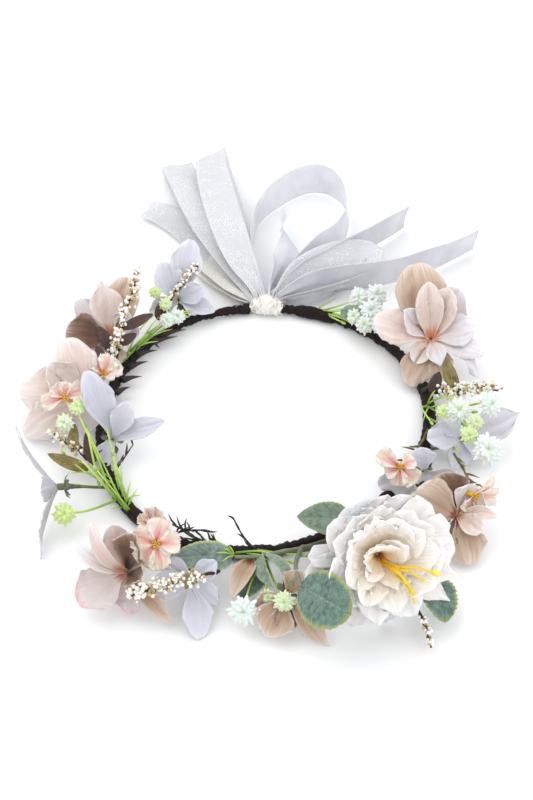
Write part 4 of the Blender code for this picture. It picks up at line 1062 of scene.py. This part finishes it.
# needle twigs: stem points, number of needles, needle length, skin
DARK, OLIVE = 0, 1
TWIGS = [
    ([(-17, -94, 6), (-26, -90, 8), (-35, -86, 9), (-44, -80, 10)], 18, 9, DARK),
    ([(-20, -96, 6), (-30, -95, 7), (-40, -93, 8), (-47, -90, 9)], 16, 9, DARK),
    ([(-3, -92, 6), (-7, -90, 9), (-11, -87, 14), (-14, -84, 20)], 4, 8, DARK),
    ([(-48, -82, 6), (-40, -82, 9), (-30, -82, 10)], 9, 8, DARK),
    ([(91, -10, 8), (87, -20, 10), (82, -30, 12), (77, -38, 14)], 8, 8, OLIVE),
    ([(103, -32, 13), (106, -44, 16), (109, -54, 18), (112, -66, 22)], 9, 8, OLIVE),
    ([(-76, 49, 5), (-72, 54, 6), (-66, 60, 6), (-58, 66, 6)], 8, 8, DARK),
    ([(-84, 26, 8), (-82, 40, 14), (-79, 54, 20), (-75, 66, 25)], 12, 6, DARK),
    ([(-86, -34, 6), (-92, -30, 10), (-100, -26, 14)], 8, 6, DARK),
    ([(-80, -40, 6), (-76, -34, 8), (-70, -24, 11)], 4, 7, DARK),
    ([(94, 18, 7), (104, 15, 12), (114, 14, 16)], 9, 6, DARK),
    ([(20, -96, 6), (34, -98, 8), (44, -104, 10)], 8, 7, DARK),
    ([(92, -30, 6), (88, -44, 8), (84, -56, 8)], 8, 8, DARK),
]
# dark thorns on the hoop: root, tip
THORNS = [
    ((-64, 60, 5), (-49, 64, 6)), ((-60, 65, 5), (-44, 70, 6)), ((-76, 40, 5), (-65, 43, 7)),
    ((-79, 30, 5), (-68, 32, 6)), ((-72, 50, 5), (-60, 53, 6)), ((-82, 20, 5), (-74, 24, 6)),
    ((-88, -14, 5), (-82, -6, 8)), ((90, 20, 6), (98, 24, 10)), ((88, 28, 6), (96, 32, 10)),
    ((-20, -92, 5), (-28, -84, 7)),
]
# grey-green stalks of the leaves
STALKS = [
    [(22, -92, 8), (20, -98, 14), (17, -114, 21), (19, -132, 28)],
    [(34, -88, 8), (20, -96, 12), (4, -101, 14)], [(44, -80, 8), (47, -79, 11), (47, -80, 14)],
    [(28, -92, 8), (10, -99, 12), (0, -103, 14), (-14, -103, 14)],
    [(82, -92, 12), (84, -102, 13), (84, -114, 12)],
]


# thickness from root to tip
GRASS_GIRTH = (0.3, 0.42, 0.5, 0.5, 0.46, 0.4, 0.32, 0.22, 0.1)
NEEDLE_GIRTH = (0.25, 0.5, 0.6, 0.55, 0.45, 0.3, 0.08)
THORN_GIRTH = (1.9, 1.9, 1.6, 1.25, 0.95, 0.65, 0.35, 0.08)


def build_fillers():
    """The thin lime stems and dark needle twigs that fill the gaps between the flowers."""
    lime = Patchwork()
    for points in LIME_STEMS:
        path = spline(points, 20)
        lime.tube(path, np.linspace(0.65, 0.38, 20), 8, RANDOM.uniform(0, 1))
        tip = unit(path[-1] - path[-2])
        lime.ball(path[-1] + tip, 0.9, (1, 1, 2.2), basis_toward(tip), 7, 8, 0.7)
    for root, tip in LIME_NEEDLES:
        path = spline([root, (np.array(root) + tip) / 2 + (0, 0, 1.2), tip], 9)
        lime.tube(path, GRASS_GIRTH, 6, RANDOM.uniform(0, 1))
    wear(lime.object("lime_filler_stems", [MATERIALS["lime"]]), "crown")
    dark = Patchwork()
    for n, (points, count, length, skin) in enumerate(TWIGS):
        r = np.random.default_rng(500 + n)
        path = spline(points, 24)
        dark.tube(path, np.linspace(0.7, 0.3, 24), 7, 0.5, skin)
        for k in range(count):
            i = int(23 * (0.10 + 0.90 * k / max(count - 1, 1)))
            lead = unit(path[min(i + 1, 23)] - path[max(i - 1, 0)])
            out = unit(lead * 1.1 + r.normal(size=3) * 0.5 + (0, 0, 0.2))
            end = path[i] + out * length * r.uniform(0.7, 1.1)
            needle = spline([path[i], (path[i] + end) / 2 + r.normal(size=3) * 0.4, end], 7)
            dark.tube(needle, NEEDLE_GIRTH, 6, r.uniform(0, 1), skin)
    wear(dark.object("needle_twigs", [MATERIALS["needle"], MATERIALS["olive_needle"]]), "crown")
    thorns = Patchwork()
    for root, tip in THORNS:
        path = spline([root, (np.array(root) + tip) / 2 + (0, 0, 0.8), tip], 8)
        thorns.tube(path, THORN_GIRTH, 8, 0.5)
    wear(thorns.object("hoop_thorns", [MATERIALS["thorn"]]), "crown")
    stalks = Patchwork()
    for points in STALKS:
        stalks.tube(spline(points, 22), np.linspace(1.5, 1.0, 22), 9, 0.5)
    wear(stalks.object("leaf_stalks", [MATERIALS["grey_green"]]), "crown")


# ================================ Hoop ================================
TAPE_REST = 0.15   # the height at which the table flattens the tape
# where the taped hoop is thicker: angle, half-width in degrees, how much
BULGES = ((20, 22, 1.0), (-262, 5, 0.6), (84, 5, 0.4), (-12, 16, 0.9), (-45, 18, 0.7),
          (-100, 30, 0.5),
          (-150, 14, 0.8), (-190, 22, 0.9), (55, 10, 0.4))
COLLAR_R, COLLAR_HALF = 3.45, 8.0


def tape_tube(name, first, last, radius_at, pitch, node):
    """A tube round the hoop whose surface steps with each turn of the tape."""
    sides, rings_per_degree = 20, 2.4
    count = int(abs(last - first) * rings_per_degree)
    angle = np.linspace(first, last, count)[:, None]
    phi = np.linspace(0, 2 * math.pi, sides, endpoint=False)[None, :]
    run = angle * math.pi / 180 * HOOP_R
    step = ((run / pitch + phi / (2 * math.pi)) % 1.0)
    radius = radius_at(angle) + 0.30 * eased(step, 0.0, 0.85) - 0.30 * eased(step, 0.9, 1.0)
    radius = radius + 0.16 * np.sin(run * 1.9 + 3 * phi) + 0.10 * np.sin(run * 4.3 - 2 * phi + 1.0)
    radius = radius + 0.22 * np.sin(run * 0.61 + 2 * phi) * np.sin(run * 0.23 + 1)
    radius[[0, -1]] = 0.4
    centre = hoop_point(angle[:, 0])
    a = np.radians(angle)
    out = np.stack((np.cos(a), np.sin(a), 0 * a), axis=-1)
    up = np.array((0, 0, 1.0))
    ring = np.cos(phi)[..., None] * out + np.sin(phi)[..., None] * up
    points = centre[:, None] + radius[..., None] * ring
    points[..., 2] = np.maximum(points[..., 2], TAPE_REST)
    work = Patchwork()
    work.grid(points, 0.5, closed=True)
    obj = work.object(name, [MATERIALS["tape"]])
    wear(obj, "crown", node)


def hoop_thickness(angle):
    """The taped hoop is thin at the left of the bow, and thick where many stems are bound on."""
    bulge = sum(extra * np.exp(-((angle - centre) / wide) ** 2) for centre, wide, extra in BULGES)
    return 2.1 + bulge + 0.25 * np.sin(angle * 0.9) + 0.15 * np.sin(angle * 2.3 + 1)


def build_hoop():
    tape_tube("hoop_tape_wrap", HOOP_START, HOOP_END, hoop_thickness, 4.5, "hoop_tape")
    for name, angle in COLLARS.items():
        low, high = angle - COLLAR_HALF, angle + COLLAR_HALF

        def girth(a, low=low, high=high):
            return COLLAR_R - 0.9 * (1 - eased(a, low, low + 3) * (1 - eased(a, high - 3, high)))

        tape_tube(name + "_wrap", low, high, girth, 3.2, name)


# ================================ Ribbons ================================
KNOT_AT = (2.3, 91.4, 5.6)
GATHER_YZ = (92.0, 6.0)   # where the ribbons' ends meet inside the knot
RIBBON_THICKNESS = 0.16
GATHERED = 20.0   # how far the pleats run out from the knot
PLEAT = 1.1
RIBBON_REST, KNOT_REST = 0.6, 0.5   # the heights at which the table stops them


def ribbon(name, points, body, node, materials, flat_across=None):
    """A ribbon band. A point is (x, y, z, width, lean): lean 0 stands on its edge and 90 lies flat.

    flat_across holds the ways the band faces at its ends and at its middle."""
    rows, cols = 120, 19
    ends = [0, -1] if "loop" in name and points[-1][1] < 105 else [0]
    gather = [(0.5 * (points[e][0] + KNOT_AT[0]), *GATHER_YZ, 0.7 * points[e][3], points[e][4])
              for e in ends]
    points = [gather[0], *points, *gather[1:]]
    data = spline(points, rows)
    path, width, lean = data[:, :3], data[:, 3], np.radians(data[:, 4])
    tangent = unit(np.gradient(path, axis=0))
    level = unit(np.cross((0, 0, 1), tangent))
    for k in range(1, rows):
        if level[k] @ level[k - 1] < 0:
            level[k] = -level[k]
    up = np.cross(tangent, level)
    up = np.where(up[:, 2:] < 0, -up, up)
    across = up * np.cos(lean)[:, None] + level * np.sin(lean)[:, None]
    if flat_across is not None:
        first, last = (unit(np.array(v, float)) for v in flat_across)
        share = eased(np.abs(np.linspace(-1, 1, rows)), 0.15, 0.9)[:, None]
        across = unit(last * (1 - share) + first * share)
    normal = np.cross(tangent, across)
    u = np.linspace(-1, 1, cols)[None, :]
    run = np.concatenate([[0], np.cumsum(np.linalg.norm(np.diff(path, axis=0), axis=1))])
    near = np.exp(-run / GATHERED)
    ripple = 0.9 if "organza" in name else 0.4
    if "loop" in name:
        near = near + np.exp(-(run[-1] - run) / GATHERED)
    fold = PLEAT * near[:, None] * np.sin(u * 7.0 + 1.3) + ripple * np.sin(u * 2.6 + run[:, None]
                                                                           * 0.045)
    fold = fold + 0.22 * np.sin(run[:, None] * 0.16 + u * 1.7)
    points = path[:, None] + across[:, None] * (u * width[:, None] / 2)[..., None]
    points = points + normal[:, None] * fold[..., None]
    points[..., 2] = np.maximum(points[..., 2], RIBBON_REST)
    work = Patchwork()
    work.grid(points)
    obj = work.object(name, materials, RIBBON_THICKNESS)
    if body == "crown":
        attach(obj, "crown")
    else:
        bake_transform(obj)
    if node:
        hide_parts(node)


def build_knot():
    """The knot: gathered organza and satin wound round the wire's eyes, with small ruffled
    folds."""
    work = Patchwork()
    centre = np.array(KNOT_AT)
    turns = 15
    for k in range(turns):
        r = np.random.default_rng(600 + k)
        along = (k / (turns - 1) - 0.5) * 2
        tilt = math.radians(8 * r.uniform(-1, 1) + 90 - 14 * along)
        middle = centre + (along * 8.0, -0.35 * along ** 2 - 0.6 * along, -1.3 * along ** 2)
        a = np.linspace(0, 2 * math.pi, 44, endpoint=False)
        size = (5.6 - 1.6 * along ** 2) * r.uniform(0.85, 1.12)
        turn = np.array(Matrix.Rotation(tilt, 3, "Z"))
        ring = np.stack((np.cos(a) * size, 0 * a, np.sin(a) * size * 0.85), axis=-1) @ turn.T
        u = np.linspace(-1, 1, 9)[:, None, None]
        side = turn @ np.array((0.12, 1.0, 0.1))
        about = a[None, :, None]
        crumple = 0.6 * np.sin(about * 5 + u * 2.5 + k) + 0.35 * np.sin(about * 11 - u * 4 + 2 * k)
        spread = 1.9 + 0.7 * np.sin(a * 3 + k)[None, :, None]
        flare = 1 + 0.10 * u ** 2
        points = middle + ring[None] * flare + side * u * spread + unit(ring)[None] * crumple
        points[..., 2] = np.maximum(points[..., 2], KNOT_REST)
        work.grid(points, r.uniform(), closed=True)
    obj = work.object("ribbon_knot_folds", [MATERIALS["knot"]] * 2, 0.2)
    wear(obj, "crown", "ribbon_knot")


def build_ribbons():
    # both has the painted-shade satin on its back, and tail has it on both sides
    both = [MATERIALS["satin"], MATERIALS["satin_shade"]]
    bright, tail, sheer, cream = ([MATERIALS[k]] * 2 for k in ("satin", "satin_shade", "organza",
                                                               "cream_organza"))
    ribbon("bow_loop_right_satin", [
        (-1, 99, 9, 10, 0), (-5, 112, 11, 18, 0), (-7, 141, 11, 20, 0), (-2, 168, 11, 21, 0),
        (12, 188, 11, 21, 8),
        (29, 199, 11, 21, 12), (42, 196, 11, 20, 8), (50, 183, 11, 19, 0), (52, 165, 11, 19, -6),
        (46, 147, 11, 19, -10), (33, 133, 11, 20, -10), (20, 117, 10, 18, 0), (10, 100, 9, 10, 0)],
        "crown", "bow_loop_right", bright)
    ribbon("bow_loop_left_outer_organza", [
        (-6, 97, 9, 9, 80), (-22, 127, 15, 19, 84), (-37, 161, 15, 20, 88), (-48, 194, 12, 20, 88),
        (-54, 213, 8, 20, 86), (-55, 218, 6, 20, 86), (-53, 213, 4.5, 20, 86),
        (-45, 191, 4, 20, 88),
        (-34, 161, 5, 20, 88), (-20, 130, 6, 17, 86), (-8, 99, 7, 9, 84)],
        "crown", "bow_loop_left_outer", sheer,
        flat_across=((0.93, 0.36, 0), (0.96, 0.25, 0.05)))
    ribbon("bow_loop_left_inner_organza", [
        (-4, 97, 14, 9, 80), (-14, 117, 21, 18, 82), (-24, 154, 24, 22, 84), (-31, 192, 20, 23, 86),
        (-33, 215, 15, 23, 86), (-33, 221, 12, 22, 86), (-31, 214, 10, 22, 86),
        (-27, 191, 11, 22, 86),
        (-20, 156, 17, 20, 84), (-14, 122, 15, 17, 82), (-5, 99, 11, 9, 80)],
        "crown", "bow_loop_left_inner", sheer,
        flat_across=((0.96, 0.25, 0), (0.78, 0.62, 0.05)))
    ribbon("ribbon_tail_left_organza", [
        (-7, 97, 4, 9, 84), (-20, 118, 3, 18, 88), (-33, 141, 2.5, 20, 90), (-47, 161, 2.5, 20, 90),
        (-60, 173, 2.5, 19, 90), (-73, 179, 2.5, 16, 90)],
        "tail_left", "ribbon_tail_left", sheer)
    ribbon("ribbon_tail_short_satin", [
        (4, 99, 12, 10, 0), (9, 111, 13, 16, 20), (14, 125, 14, 17, 70), (15, 138, 15, 12, 40),
        (12, 148, 15, 8, -20),
        (14, 157, 14, 8, -30), (12, 166, 14, 6, -60)],
        "tail_short", "ribbon_tail_short", both)
    ribbon("ribbon_tail_upper_satin", [
        (10, 99, 10, 10, 0), (24, 111, 12, 20, 0), (38, 121, 12, 21, 0), (51, 131, 12, 20, 0),
        (69, 146, 12, 19, -4),
        (88, 163, 11, 19, -8)],
        "tail_upper", "ribbon_tail_upper", tail)
    ribbon("ribbon_tail_lower_satin", [
        (11, 95, 9, 10, 0), (28, 103, 11, 19, 0), (46, 108, 11, 20, 0), (65, 111, 11, 19, 0),
        (83, 116, 11, 19, 0),
        (98, 123, 11, 19, 0), (114, 132, 11, 19, -6), (129, 142, 11, 19, -10)],
        "tail_lower", "ribbon_tail_lower", tail)
    ribbon("bow_loop_small_left_organza", [
        (-5, 95, 7, 9, 60), (-16, 106, 9, 18, 70), (-29, 124, 8, 21, 80), (-34, 132, 5, 20, 86),
        (-29, 122, 3, 20, 86), (-14, 100, 4, 10, 80)],
        "crown", None, cream,
        flat_across=((0.83, 0.55, 0), (0.80, 0.60, 0)))
    ribbon("bow_loop_small_right_organza", [
        (9, 96, 9, 10, 20), (22, 105, 12, 24, 34), (38, 113, 14, 28, 46), (54, 121, 13, 27, 54),
        (62, 124, 11, 24, 60),
        (52, 116, 8, 24, 62), (30, 104, 7, 20, 60), (10, 95, 6, 9, 60)],
        "crown", None, sheer)
    ribbon("bow_loop_small_right_satin", [
        (7, 96, 5, 9, 20), (18, 98, 4, 15, 40), (32, 103, 3.5, 16, 60), (42, 107, 3.5, 12, 70)],
        "crown", None, both)


# ================================ Stems kept from the part ================================
WELD_M = 0.00001


def dress_cad_nodes():
    """Smooth the part's own stems and wire, and give them their tape and steel."""
    steel = Shader("drawn_steel", 0.35, Metallic=1.0)
    scratch = steel.noise(900.0, 4.0)
    wire = steel.finish(steel.ramp(scratch, (0.3, srgb("6E6E72")), (0.7, srgb("A4A4A8"))),
                        steel.bump(scratch, 0.2, 0.1))
    taped = Shader("green_paper_tape", 0.68)
    grain = taped.noise(380.0, 5.0)
    wrap = taped.noise(110.0, 2.0)
    colour = taped.mix(taped.ramp(grain, (0.35, 0.0), (0.7, 1.0)), srgb("4A4D30"), srgb("757A50"))
    colour = taped.mix(0.5, colour, taped.ramp(wrap, (0.3, 0.6), (0.7, 1.1)), "MULTIPLY")
    tape = taped.finish(colour, taped.bump(grain, 0.6, 0.3))
    for name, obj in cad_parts.items():
        if obj.hide_render:
            continue
        obj.data.materials.clear()
        obj.data.materials.append(wire if name == "hoop_wire" else tape)
        weld = obj.modifiers.new("weld", "WELD")
        weld.merge_threshold = WELD_M
        smooth = obj.modifiers.new("smooth", "SUBSURF")
        smooth.levels = smooth.render_levels = 2
        obj.data.polygons.foreach_set("use_smooth", np.ones(len(obj.data.polygons), bool))


# ================================ Stage ================================
# lengths in metres
FLOOR_SIZE, FLOOR_GAP = 6.0, 0.0002
SKY_COLOUR, SKY_STRENGTH = (0.97, 0.98, 1.0, 1), 1.08
# name: place, size, power
LAMPS = {"key": ((-0.7, 0.5, 1.5), 1.8, 11.0), "fill": ((1.1, -0.9, 1.1), 1.8, 6.0)}
CAMERA_TARGET = (0.0023, 0.0194, 0.0)
CAMERA_DISTANCE, CAMERA_RISE = 1.0, math.radians(47.0)
LENS_MM, SENSOR_MM = 80, 36


def add_to_scene(name, data, place):
    obj = bpy.data.objects.new(name, data)
    bpy.context.scene.collection.objects.link(obj)
    obj.location = place
    return obj


def build_stage():
    """A pale floor, soft lights, and the camera at a high three-quarter view from the front."""
    bpy.ops.mesh.primitive_plane_add(size=FLOOR_SIZE, location=(0, 0, -FLOOR_GAP))
    floor = bpy.context.object
    floor.name = "floor"
    s = Shader("pale_floor", 0.85)
    pale = s.ramp(s.noise(2.0, 1.0), (0.3, (0.90, 0.90, 0.90)), (0.7, (0.92, 0.92, 0.92)))
    floor.data.materials.append(s.finish(pale))
    world = bpy.data.worlds.new("studio")
    bpy.context.scene.world = world
    world.use_nodes = True
    world.node_tree.nodes["Background"].inputs["Color"].default_value = SKY_COLOUR
    world.node_tree.nodes["Background"].inputs["Strength"].default_value = SKY_STRENGTH
    for name, (place, size, power) in LAMPS.items():
        light = bpy.data.lights.new(name, "AREA")
        light.size = size
        light.energy = power
        lamp = add_to_scene(name, light, place)
        lamp.rotation_euler = (-Vector(place)).to_track_quat("-Z", "Y").to_euler()
    camera = bpy.data.cameras.new("camera")
    camera.lens = LENS_MM
    camera.sensor_width = SENSOR_MM
    back = Vector((0, -math.cos(CAMERA_RISE), math.sin(CAMERA_RISE)))
    view = add_to_scene("camera", camera, Vector(CAMERA_TARGET) + back * CAMERA_DISTANCE)
    view.rotation_euler = (math.pi / 2 - CAMERA_RISE, 0, 0)
    bpy.context.scene.camera = view
    bpy.context.scene.view_settings.view_transform = "Standard"


build_stage()
build_hoop()
build_knot()
build_ribbons()
build_magnolias()
build_lilies()
build_blossoms()
build_calyxes()
build_peony()
build_leaves()
build_sprays()
build_picks()
build_fillers()
dress_cad_nodes()
